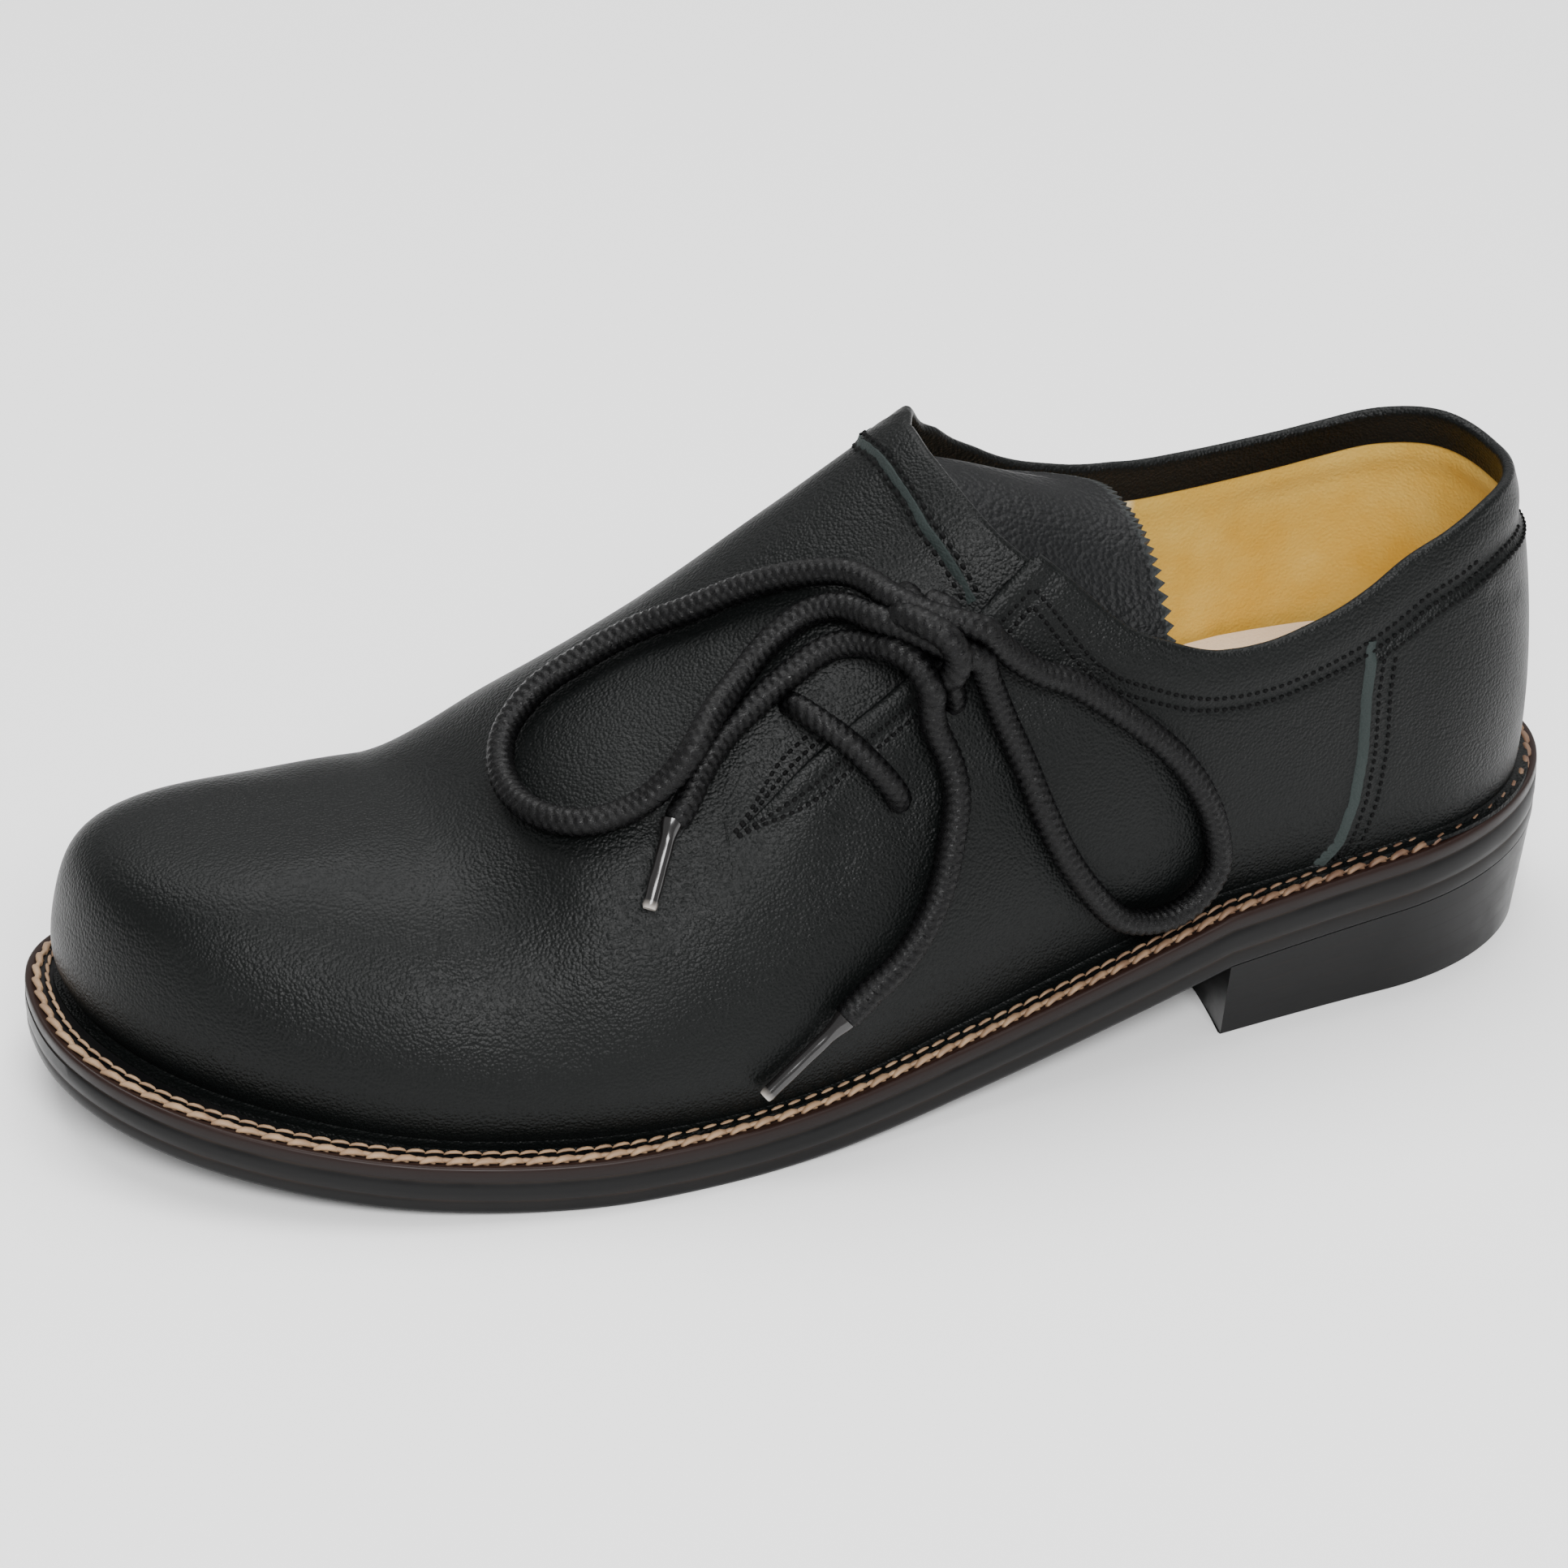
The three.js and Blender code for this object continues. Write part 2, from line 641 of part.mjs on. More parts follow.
// A tube along points, closed at both ends
function tube(points, diameter, steps, sides = 8) {
  const section = new THREE.Shape();
  for (let index = 0; index < sides; index += 1) {
    const angle = index / sides * 2 * Math.PI;
    const place = [diameter / 2 * Math.cos(angle), diameter / 2 * Math.sin(angle)];
    if (index === 0) section.moveTo(...place);
    else section.lineTo(...place);
  }
  const extrudePath = new THREE.CatmullRomCurve3(points, false, 'centripetal');
  return new THREE.ExtrudeGeometry(section, { steps, extrudePath, bevelEnabled: false });
}

// Solid of the boolean library, from a geometry of closed shape
const wasm = await Module();
wasm.setup();

function toManifold(geometry) {
  const body = new Body();
  const position = geometry.getAttribute('position');
  const index = geometry.index ? [...geometry.index.array] : [...Array(position.count).keys()];
  const corners = index.map((place) => body.vertex(new THREE.Vector3().fromBufferAttribute(position, place)));
  for (let place = 0; place < corners.length; place += 3) {
    body.triangle(corners[place], corners[place + 1], corners[place + 2]);
  }
  return new wasm.Manifold(new wasm.Mesh({
    numProp: 3,
    vertProperties: new Float32Array(body.points.flatMap((point) => [point.x, point.y, point.z])),
    triVerts: new Uint32Array(body.faces.flat()),
  }));
}

function fromManifold(solid) {
  const mesh = solid.getMesh();
  const geometry = new THREE.BufferGeometry();
  geometry.setAttribute('position', new THREE.Float32BufferAttribute(mesh.vertProperties, 3));
  geometry.setIndex([...mesh.triVerts]);
  geometry.computeVertexNormals();
  return geometry;
}

function upper() {
  let solid = toManifold(skinShell(() => true, -WALL, 0));
  EYELETS.forEach(([round, up]) => {
    const from = overLast(-1, round, up, -WALL - 3);
    const to = overLast(-1, round, up, 5);
    const punch = new THREE.CylinderGeometry(EYELET_DIAMETER / 2, EYELET_DIAMETER / 2, from.distanceTo(to), 12);
    const axis = to.clone().sub(from).normalize();
    punch.applyQuaternion(new THREE.Quaternion().setFromUnitVectors(new THREE.Vector3(0, 1, 0), axis));
    const centre = from.add(to).multiplyScalar(0.5);
    punch.translate(centre.x, centre.y, centre.z);
    punch.deleteAttribute('normal');
    punch.deleteAttribute('uv');
    solid = solid.subtract(toManifold(punch));
  });
  return fromManifold(solid);
}

// Columns of both heel halves that carry the counter, and the rows under the facing
const lastColumn = SKIN.columnCount - 1;
const onCounter = (column, row) => row < COUNTER_ROW
  && (column < COUNTER_COLUMN || column >= lastColumn - COUNTER_COLUMN);
const slitAt = HEEL_COLUMNS.length + QUARTER_COLUMNS.length;
const facingEnd = lastColumn - HEEL_COLUMNS.length - INNER_COLUMNS.length + 1;
const onFacing = (column, row) => row >= FACING_ROW && (column < slitAt - 4 || column >= facingEnd);

// The band that doubles the vamp's top edge: a plane across the instep ends it in front, one
// beside the slit ends it below, and one along the shoe ends it on the inner side
const BAND_PLANES = [
  // normal x, normal y, normal z, distance from the origin
  [0.875, -0.060, 0.481, 64.4],
  [-0.360, 0.719, 0.595, 35.4],
  [0, -1, 0, -22],
];
const onBand = (column, row) => row >= 4 && column >= slitAt && column < facingEnd;

function vampBand() {
  let solid = toManifold(skinShell(onBand, GAP, 1.3));
  BAND_PLANES.forEach(([x, y, z, distance]) => {
    solid = solid.trimByPlane([x, y, z], distance);
  });
  return fromManifold(solid);
}

// The tongue's sheet: columns run over the instep from the outer side to the inner side
const TONGUE_EDGE = [
  // share over the instep, front round, rear round, up
  [0.00, 0.620, 0.320, 0.400],
  [0.20, 0.628, 0.318, 0.560],
  [0.40, 0.632, 0.318, 0.740],
  [0.60, 0.634, 0.320, 0.920],
  [0.70, 0.634, 0.322, 1.030],
  [0.85, 0.630, 0.340, 1.150],
  [1.00, 0.620, 0.412, 1.290],
];
const TONGUE_THICKNESS = 2;
const TONGUE_DEPTH = WALL + 0.9;

function tongue() {
  const rows = 14;
  const columns = 14;
  const at = (height) => (row, column) => {
    const [front, rear, up] = read(TONGUE_EDGE, column / columns);
    return overLast(-1, mix(front, rear, row / rows), up, height, TONGUE_RIDGE);
  };
  return gridSolid(rows, columns, at(-TONGUE_DEPTH), at(-TONGUE_DEPTH - TONGUE_THICKNESS));
}

// Lace routes over the last: height is from the last's surface to the lace's middle
const LOWER_BAR = [
  // round, up, height
  [0.546, 0.628, 3.0],
  [0.541, 0.595, 4.6],
  [0.523, 0.505, 5.4],
  [0.505, 0.412, 4.6],
  [0.499, 0.379, 3.0],
];
const UPPER_BAR = [
  // round, up, height
  [0.474, 0.660, 3.4],
  [0.472, 0.632, 4.6],
  [0.467, 0.560, 5.6],
  [0.462, 0.484, 4.8],
  [0.460, 0.455, 3.6],
];
const FRONT_LOOP = [
  // round, up, height
  [0.480, 0.640, 9.4],
  [0.497, 0.739, 5.4],
  [0.521, 0.819, 3.4],
  [0.546, 0.880, 3.0],
  [0.573, 0.930, 3.0],
  [0.600, 0.985, 3.0],
  [0.630, 1.006, 3.0],
  [0.657, 1.004, 3.0],
  [0.677, 0.959, 3.0],
  [0.687, 0.875, 3.0],
  [0.687, 0.773, 3.0],
  [0.678, 0.691, 3.0],
  [0.661, 0.630, 3.0],
  [0.637, 0.610, 3.4],
  [0.616, 0.617, 6.0],
  [0.598, 0.639, 8.6],
  [0.584, 0.673, 7.6],
  [0.566, 0.712, 4.6],
  [0.544, 0.742, 3.4],
  [0.523, 0.738, 3.6],
  [0.508, 0.706, 5.0],
  [0.492, 0.636, 9.0],
];
const FRONT_END = [
  // round, up, height
  [0.491, 0.590, 8.0],
  [0.504, 0.632, 4.8],
  [0.520, 0.662, 3.2],
  [0.542, 0.666, 3.0],
  [0.564, 0.659, 2.9],
  [0.584, 0.644, 2.9],
  [0.601, 0.609, 2.9],
  [0.612, 0.574, 2.9],
  [0.6228, 0.5480, 2.8],
];
const REAR_LOOP = [
  // round, up, height
  [0.442, 0.528, 10.6],
  [0.430, 0.478, 7.8],
  [0.414, 0.426, 5.4],
  [0.396, 0.384, 4.0],
  [0.380, 0.341, 3.2],
  [0.357, 0.280, 3.0],
  [0.336, 0.221, 3.0],
  [0.320, 0.163, 3.0],
  [0.310, 0.107, 3.0],
  [0.308, 0.065, 3.2],
  [0.318, 0.040, 3.6],
  [0.334, 0.032, 3.8],
  [0.352, 0.040, 3.6],
  [0.371, 0.064, 3.2],
  [0.390, 0.118, 3.0],
  [0.407, 0.187, 3.0],
  [0.418, 0.254, 3.0],
  [0.427, 0.326, 3.0],
  [0.437, 0.403, 4.2],
  [0.443, 0.455, 6.6],
  [0.4475, 0.494, 9.6],
];
const REAR_END = [
  // round, up, height
  [0.478, 0.508, 9.4],
  [0.477, 0.452, 5.4],
  [0.470, 0.393, 3.4],
  [0.468, 0.342, 3.2],
  [0.474, 0.287, 2.9],
  [0.482, 0.241, 2.9],
  [0.495, 0.201, 2.9],
  [0.511, 0.173, 2.9],
  [0.531, 0.155, 2.9],
  [0.5495, 0.1330, 2.8],
];
const FRONT_AGLET = [
  // round, up, height
  [0.6243, 0.5425, 2.7],
  [0.644, 0.436, 2.5],
];
const REAR_AGLET = [
  // round, up, height
  [0.5510, 0.1305, 2.7],
  [0.593, 0.058, 2.5],
];
const KNOT = { round: 0.468, up: 0.566, height: 11.9, long: 17, wide: 15, high: 7.6 };

const routePoints = (route) => route.map(([round, up, height]) => overLast(-1, round, up, height));

function knot() {
  const centre = overLast(-1, KNOT.round, KNOT.up, KNOT.height);
  const below = overLast(-1, KNOT.round, KNOT.up, 0);
  const along = overLast(-1, KNOT.round + 0.02, KNOT.up, KNOT.height).sub(centre).normalize();
  const normal = centre.clone().sub(below).normalize();
  const across = normal.clone().cross(along).normalize();
  const geometry = new THREE.SphereGeometry(0.5, 14, 10);
  geometry.scale(KNOT.long, KNOT.wide, KNOT.high);
  geometry.applyMatrix4(new THREE.Matrix4().makeBasis(across.clone().cross(normal), across, normal));
  geometry.translate(centre.x, centre.y, centre.z);
  return geometry;
}

const shoe = new THREE.Group();
shoe.name = 'haferl_shoe';
shoe.position.set(0, SIDE_SHIFT, 0);

function add(name, geometry, look) {
  const mesh = new THREE.Mesh(geometry, new THREE.MeshStandardMaterial(look));
  mesh.name = name;
  shoe.add(mesh);
}

add('outsole', outsole(), EDGE);
add('midsole', midsole(), EDGE);
add('heel', heel(), EDGE);
add('welt', welt(), WELT_LEATHER);
add('insole', insole(), INSOLE_LEATHER);
add('upper', upper(), LEATHER);
add('heel_counter', skinShell(onCounter, GAP, 1.5), LEATHER);
add('vamp_band', vampBand(), LEATHER);
add('collar_facing', skinShell(onFacing, -WALL - 1.3, -WALL - GAP), LEATHER);
add('tongue', tongue(), LEATHER);
add('lace_bar_lower', tube(routePoints(LOWER_BAR), LACE_DIAMETER, 8), CORD);
add('lace_bar_upper', tube(routePoints(UPPER_BAR), LACE_DIAMETER, 8), CORD);
add('lace_knot', knot(), CORD);
add('lace_loop_front', tube(routePoints(FRONT_LOOP), LACE_DIAMETER, 26), CORD);
add('lace_end_front', tube(routePoints(FRONT_END), LACE_DIAMETER, 8), CORD);
add('lace_loop_rear', tube(routePoints(REAR_LOOP), LACE_DIAMETER, 24), CORD);
add('lace_end_rear', tube(routePoints(REAR_END), LACE_DIAMETER, 10), CORD);
add('aglet_front', tube(routePoints(FRONT_AGLET), AGLET_DIAMETER, 1), AGLET_PLASTIC);
add('aglet_rear', tube(routePoints(REAR_AGLET), AGLET_DIAMETER, 1), AGLET_PLASTIC);

export default shoe;
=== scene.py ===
# %% [markdown]
# # A haferl shoe
# A haferl shoe is a stout walking shoe that laces on its outer side. This lesson dresses its plain
# solids with skin, seams, stitches and lace. Sizes are in millimetres until a mesh is made, and
# every point is measured on the last, the foot-shaped block on which such a shoe is built.

# %% The plain solids
import math

import bpy
import numpy as np
from mathutils import Matrix, Vector


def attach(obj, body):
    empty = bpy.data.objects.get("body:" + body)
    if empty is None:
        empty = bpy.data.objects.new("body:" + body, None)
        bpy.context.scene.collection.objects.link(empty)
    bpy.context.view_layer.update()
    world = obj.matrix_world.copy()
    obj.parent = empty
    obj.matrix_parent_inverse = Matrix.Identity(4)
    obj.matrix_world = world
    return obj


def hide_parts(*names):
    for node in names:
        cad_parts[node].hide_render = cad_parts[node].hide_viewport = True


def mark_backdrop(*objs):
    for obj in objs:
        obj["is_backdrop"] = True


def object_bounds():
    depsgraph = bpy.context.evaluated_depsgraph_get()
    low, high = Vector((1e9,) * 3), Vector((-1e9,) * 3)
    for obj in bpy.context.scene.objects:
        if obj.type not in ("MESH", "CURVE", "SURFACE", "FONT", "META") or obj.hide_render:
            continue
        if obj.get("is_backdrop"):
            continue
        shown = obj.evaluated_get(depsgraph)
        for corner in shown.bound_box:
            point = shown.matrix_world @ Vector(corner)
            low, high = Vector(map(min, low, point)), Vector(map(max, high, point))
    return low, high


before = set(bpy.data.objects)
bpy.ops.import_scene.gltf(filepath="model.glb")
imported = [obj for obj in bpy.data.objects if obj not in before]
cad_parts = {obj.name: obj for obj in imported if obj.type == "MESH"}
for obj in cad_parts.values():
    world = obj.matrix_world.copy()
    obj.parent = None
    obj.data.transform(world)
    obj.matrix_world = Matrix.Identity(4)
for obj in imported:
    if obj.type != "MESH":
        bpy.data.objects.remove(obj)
PLAIN_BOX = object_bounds()
MM = 0.001
SIDE_SHIFT = -1.664

# %% [markdown]
# ## Camera
# The shoe is seen from its laced side, a little from the toe and from above. A long lens keeps the
# sole's lines nearly parallel, as in a picture of goods for sale.

# %% Camera
CAMERA_TURN = math.radians(-21.314)
CAMERA_RISE = math.radians(30.65)
CAMERA_ROLL = math.radians(-1.008)
CAMERA_AIM = Vector((-5.711, 6.063 + SIDE_SHIFT, 46.026))
CAMERA_DISTANCE = 895.948
FOCAL_SHARE = 5787.04 / 1932

back = Vector((
    math.sin(CAMERA_TURN) * math.cos(CAMERA_RISE),
    -math.cos(CAMERA_TURN) * math.cos(CAMERA_RISE),
    math.sin(CAMERA_RISE),
))
level = Vector((math.cos(CAMERA_TURN), math.sin(CAMERA_TURN), 0))
above = back.cross(level)
right = level * math.cos(CAMERA_ROLL) - above * math.sin(CAMERA_ROLL)
upward = level * math.sin(CAMERA_ROLL) + above * math.cos(CAMERA_ROLL)
bpy.ops.object.camera_add()
camera = bpy.context.object
camera.name = "camera"
camera.matrix_world = Matrix.Translation((CAMERA_AIM + back * CAMERA_DISTANCE) * MM) @ Matrix(
    (right, upward, back)
).transposed().to_4x4()
camera.data.sensor_width = 36
camera.data.lens = 36 * FOCAL_SHARE
bpy.context.scene.camera = camera

# %% [markdown]
# ## The last
# The same named sizes and short tables as in the solids give the outline of the sole, the feather
# line where upper and welt meet, and the sections that rise from it to the ridge of the foot.

# %% Sizes and tables of the last
SOLE_LENGTH = 302
LAST_LENGTH = 287
INSTEP_HEIGHT = 116
TOE_SPRING = 12
BREAST_HEIGHT = 16.3
HEEL_HEIGHT = 22
WELT_THICKNESS = 3
FOOT_GAP = 0.45
WALL = 2.2
FLAT_FROM, FLAT_TO, BREAST = 0.335, 0.385, 0.727
HEEL_END, TOE_START = 0.17, 0.74

SOLE_PLAN = dict(
    length=302, width=108, front=-151, toe=0.246, heel=0.151,
    toe_power=2.306, heel_power=1.98, swing=14.9, swing_end=0.5,
    rows=[
        # along, outer, inner
        [0.00, 0.447, 0.476],
        [0.10, 0.457, 0.476],
        [0.20, 0.485, 0.480],
        [0.30, 0.512, 0.482],
        [0.42, 0.487, 0.463],
        [0.55, 0.433, 0.393],
        [0.62, 0.407, 0.357],
        [0.70, 0.382, 0.343],
        [0.85, 0.342, 0.341],
        [1.00, 0.329, 0.338],
    ],
)
LAST_PLAN = dict(
    length=287, width=96, front=-142.5, toe=0.216, heel=0.115,
    toe_power=2.2, heel_power=2.1, swing=20, swing_end=0.45,
    rows=[
        # along, outer, inner
        [0.00, 0.4525, 0.360],
        [0.10, 0.4500, 0.380],
        [0.20, 0.4825, 0.430],
        [0.30, 0.5050, 0.475],
        [0.38, 0.4975, 0.4675],
        [0.46, 0.4725, 0.425],
        [0.54, 0.4250, 0.370],
        [0.62, 0.3825, 0.330],
        [0.70, 0.3550, 0.310],
        [0.80, 0.3375, 0.315],
        [0.90, 0.3200, 0.320],
        [1.00, 0.3150, 0.320],
    ],
)
SECTIONS = [
    # along, ridge height, ridge to inner side, outer roundness, inner roundness, outer swell, inner swell
    [0.00, 0.466, 9.0, 6.5, 6.5, 2.5, 2.5],
    [0.08, 0.466, 9.0, 3.6, 4.6, 2.2, 2.5],
    [0.20, 0.468, 9.0, 2.6, 3.7, 2.2, 2.5],
    [0.23, 0.480, 9.0, 2.5, 3.6, 2.5, 2.2],
    [0.26, 0.515, 9.2, 2.4, 3.4, 2.5, 2.0],
    [0.30, 0.591, 9.5, 2.3, 2.8, 3.0, 2.0],
    [0.39, 0.713, 10.0, 2.15, 2.65, 3.0, 1.5],
    [0.48, 0.861, 11.0, 2.0, 2.55, 2.5, 0.0],
    [0.57, 1.009, 11.0, 1.95, 2.45, 2.0, -2.0],
    [0.64, 1.110, 9.0, 2.1, 2.35, 2.0, -2.5],
    [0.72, 1.210, 5.0, 2.3, 2.4, 1.8, -1.0],
    [0.80, 1.270, 2.0, 2.35, 2.4, 1.4, 0.5],
    [0.885, 1.300, 0.0, 2.1, 2.2, 1.2, 1.2],
    [1.00, 1.300, 0.0, 1.9, 1.9, 1.2, 1.2],
]
TONGUE_RIDGE = [
    # along, ridge height
    [0.00, 0.466],
    [0.39, 0.713],
    [0.48, 0.861],
    [0.55, 0.965],
    [0.60, 0.945],
    [0.66, 0.900],
    [0.72, 0.860],
    [1.00, 0.800],
]


# %% Points on the last
def step_between(low, high, value):
    share = np.clip((np.asarray(value, float) - low) / (high - low), 0, 1)
    return share * share * (3 - 2 * share)


def mix(a, b, share):
    return a + (b - a) * share


def read(table, place):
    """Smooth curve through a table whose first column is the place."""
    rows = np.array(table, float)
    x, y = rows[:, 0], rows[:, 1:]
    place = np.asarray(place, float)
    gap = np.diff(x)[:, None]
    slope = np.diff(y, axis=0) / gap
    middle = (slope[:-1] * gap[1:] + slope[1:] * gap[:-1]) / (gap[1:] + gap[:-1])
    tangent = np.vstack([slope[:1], middle, slope[-1:]])
    row = np.clip(np.searchsorted(x, place, side="right") - 1, 0, len(x) - 2)
    step = (x[row + 1] - x[row])[..., None]
    s = np.clip((place - x[row])[..., None] / step, 0, 1)
    return (
        (2 * s**3 - 3 * s**2 + 1) * y[row]
        + (s**3 - 2 * s**2 + s) * step * tangent[row]
        + (3 * s**2 - 2 * s**3) * y[row + 1]
        + (s**3 - s**2) * step * tangent[row + 1]
    )


def underside(x):
    along = np.asarray(x, float) / SOLE_LENGTH + 0.5
    toe = TOE_SPRING * np.clip((FLAT_FROM - along) / FLAT_FROM, 0, 1) ** 2.2
    arch = BREAST_HEIGHT * np.clip((along - FLAT_TO) / (BREAST - FLAT_TO), 0, 1) ** 1.6
    rear = mix(BREAST_HEIGHT, HEEL_HEIGHT, (along - BREAST) / (1 - BREAST))
    return np.where(along > BREAST, rear, toe + arch)


def midsole_top(x):
    along = np.asarray(x, float) / SOLE_LENGTH + 0.5
    return underside(x) + mix(6.9, 9.65, np.clip((along - 0.35) / 0.65, 0, 1))


def welt_top(x):
    return midsole_top(x) + WELT_THICKNESS


def outline(plan, side, way):
    """Point of an outline: way runs from the heel's back, 0, to the toe's tip, 1."""
    side, way = np.broadcast_arrays(np.asarray(side, float), np.asarray(way, float))
    toe, heel = plan["toe"] * plan["length"], plan["heel"] * plan["length"]
    toe_centre = plan["front"] + toe
    heel_centre = plan["front"] + plan["length"] - heel
    a = np.clip(way / HEEL_END, 0, 1) * np.pi / 2
    b = np.clip((1 - way) / (1 - TOE_START), 0, 1) * np.pi / 2
    straight = mix(heel_centre, toe_centre, (way - HEEL_END) / (TOE_START - HEEL_END))
    x = np.where(way < HEEL_END, heel_centre + heel * np.abs(np.cos(a)) ** (2 / plan["heel_power"]), straight)
    x = np.where(way > TOE_START, toe_centre - toe * np.abs(np.cos(b)) ** (2 / plan["toe_power"]), x)
    cap = np.where(way < HEEL_END, np.abs(np.sin(a)) ** (2 / plan["heel_power"]), 1.0)
    cap = np.where(way > TOE_START, np.abs(np.sin(b)) ** (2 / plan["toe_power"]), cap)
    along = (x - plan["front"]) / plan["length"]
    widths = read(plan["rows"], along)
    half = np.where(side < 0, widths[..., 0], widths[..., 1]) * plan["width"]
    middle = plan["swing"] * np.clip(1 - along / plan["swing_end"], 0, 1) ** 2
    return x, middle + side * half * cap, along, toe_centre, heel_centre


def inset_outline(plan, side, way, inset):
    side, way = np.broadcast_arrays(np.asarray(side, float), np.asarray(way, float))
    x, y = outline(plan, side, way)[:2]
    ax, ay = outline(plan, side, np.clip(way - 0.002, 0, 1))[:2]
    bx, by = outline(plan, side, np.clip(way + 0.002, 0, 1))[:2]
    dx, dy = bx - ax, by - ay
    size = np.hypot(dx, dy) + 1e-12
    nx, ny = -side * dy / size, side * dx / size
    nx = np.where(way <= 0, -1.0, np.where(way >= 1, 1.0, nx))
    ny = np.where((way <= 0) | (way >= 1), 0.0, ny)
    return x + nx * inset, y + ny * inset


def last_point(side, way, up, ridge=None):
    x, y, along, toe_centre, heel_centre = outline(LAST_PLAN, side, way)
    foot_z = welt_top(x) + FOOT_GAP
    ridge_x = np.clip(x, toe_centre, heel_centre)
    ridge_along = (ridge_x - LAST_PLAN["front"]) / LAST_LENGTH
    top, section = read(SECTIONS, ridge_along), read(SECTIONS, along)
    ridge_z = (read(ridge, ridge_along)[..., 0] if ridge else top[..., 0]) * INSTEP_HEIGHT
    roundness = np.where(side < 0, section[..., 2], section[..., 3])
    swell = np.where(side < 0, section[..., 4], section[..., 5])
    c, s = np.abs(np.cos(up * np.pi / 2)), np.abs(np.sin(up * np.pi / 2))
    reach = (c**roundness + s**roundness) ** (-1 / roundness)
    out, rise = reach * c, reach * s
    dx, dy = x - ridge_x, y - top[..., 1]
    radius = np.hypot(dx, dy) + 1e-9
    scale = out + swell * rise * (1 - rise) ** 3 * 9.48 / radius
    return np.stack([ridge_x + dx * scale, top[..., 1] + dy * scale, mix(foot_z, ridge_z, rise)], -1)


def last_frame(side, way, up, ridge=None):
    """Points of the last and its outward normals. up may run past the ridge to the other side."""
    side, way, up = np.broadcast_arrays(*(np.asarray(v, float) for v in (side, way, up)))
    side, up = np.where(up > 1, -side, side), np.where(up > 1, 2 - up, up)
    step = 0.002
    point = last_point(side, way, up, ridge)
    further, nearer = np.minimum(way + step, 1), np.maximum(way - step, 0)
    higher, lower = np.minimum(up + step, 1), np.maximum(up - step, 0)
    along = last_point(side, further, up, ridge) - last_point(side, nearer, up, ridge)
    rise = last_point(side, way, higher, ridge) - last_point(side, way, lower, ridge)
    flat = np.stack([np.zeros_like(side), -side, np.zeros_like(side)], -1)
    rise = np.where((up > 0.999)[..., None], flat, rise)
    normal = np.cross(along, rise) * side[..., None]
    size = np.linalg.norm(normal, axis=-1, keepdims=True)
    straight_up = np.zeros_like(normal)
    straight_up[..., 2] = 1
    return point, np.where(size > 1e-7, normal / np.maximum(size, 1e-12), straight_up)


def over_last(side, way, up, height=0.0, ridge=None):
    point, normal = last_frame(side, way, up, ridge)
    return point + normal * np.asarray(height, float)[..., None]


def metres(points):
    return (np.asarray(points, float) + [0, SIDE_SHIFT, 0]) * MM


# %% [markdown]
# ## Helpers for pieces
# A sheet starts as Blender's flat grid and is then lasted: each of its corners is laid at its place
# on the last. That keeps the grid's own UV map, which the twist of the welt thread follows.

# %% Helpers for pieces
INSIDE = (0, 5, 50)


def clear_selection():
    bpy.ops.object.select_all(action="DESELECT")


def corners(piece):
    """Places of a mesh's corners, in millimetres."""
    flat = np.empty(len(piece.data.vertices) * 3)
    piece.data.vertices.foreach_get("co", flat)
    return flat.reshape(-1, 3) / MM


def mark(piece, label, values):
    """One value at each corner, which a finish can read by its label."""
    layer = piece.data.attributes.new(label, "FLOAT", "POINT")
    layer.data.foreach_set("value", values.astype(np.float32))


def lay_grid(name, points, wrap=False, marks=None):
    """A flat grid laid on points[row, column], in millimetres. marks are values of the same grid."""
    rows, columns = points.shape[0] - 1, points.shape[1] - 1
    clear_selection()
    bpy.ops.mesh.primitive_grid_add(x_subdivisions=columns, y_subdivisions=rows, size=2, calc_uvs=True)
    piece = bpy.context.object
    piece.name = piece.data.name = name
    flat = np.empty(len(piece.data.vertices) * 3)
    piece.data.vertices.foreach_get("co", flat)
    flat = flat.reshape(-1, 3)
    column = np.rint((flat[:, 0] + 1) / 2 * columns).astype(int)
    row = np.rint((flat[:, 1] + 1) / 2 * rows).astype(int)
    piece.data.vertices.foreach_set("co", metres(points[row, column]).ravel())
    piece.data.update()
    for label, values in (marks or {}).items():
        mark(piece, label, np.broadcast_to(values, points.shape[:2])[row, column])
    if wrap:
        merge(piece)
    return piece


def edit(piece, *steps):
    clear_selection()
    piece.select_set(True)
    bpy.context.view_layer.objects.active = piece
    bpy.ops.object.mode_set(mode="EDIT")
    bpy.ops.mesh.select_all(action="SELECT")
    for step in steps:
        step()
    bpy.ops.object.mode_set(mode="OBJECT")


def merge(piece, distance=0.02):
    edit(piece, lambda: bpy.ops.mesh.remove_doubles(threshold=distance * MM))


def agree(piece):
    """Turns faces so that neighbours look to the same side."""
    edit(piece, lambda: bpy.ops.mesh.normals_make_consistent(inside=False))


def flip(piece):
    edit(piece, lambda: bpy.ops.mesh.flip_normals())


def face_up(piece):
    if sum(p.normal.z * p.area for p in piece.data.polygons) < 0:
        flip(piece)


def face_from(piece, centre, away=True):
    """Turns all faces away from a centre in millimetres, or towards it."""
    middle = Vector(metres(np.array(centre, float)))
    total = sum(p.normal.dot(p.center - middle) * p.area for p in piece.data.polygons)
    if (total > 0) != away:
        flip(piece)


def join(name, pieces):
    clear_selection()
    for piece in pieces:
        piece.select_set(True)
    bpy.context.view_layer.objects.active = pieces[0]
    bpy.ops.object.join()
    joined = bpy.context.object
    joined.name = joined.data.name = name
    return joined


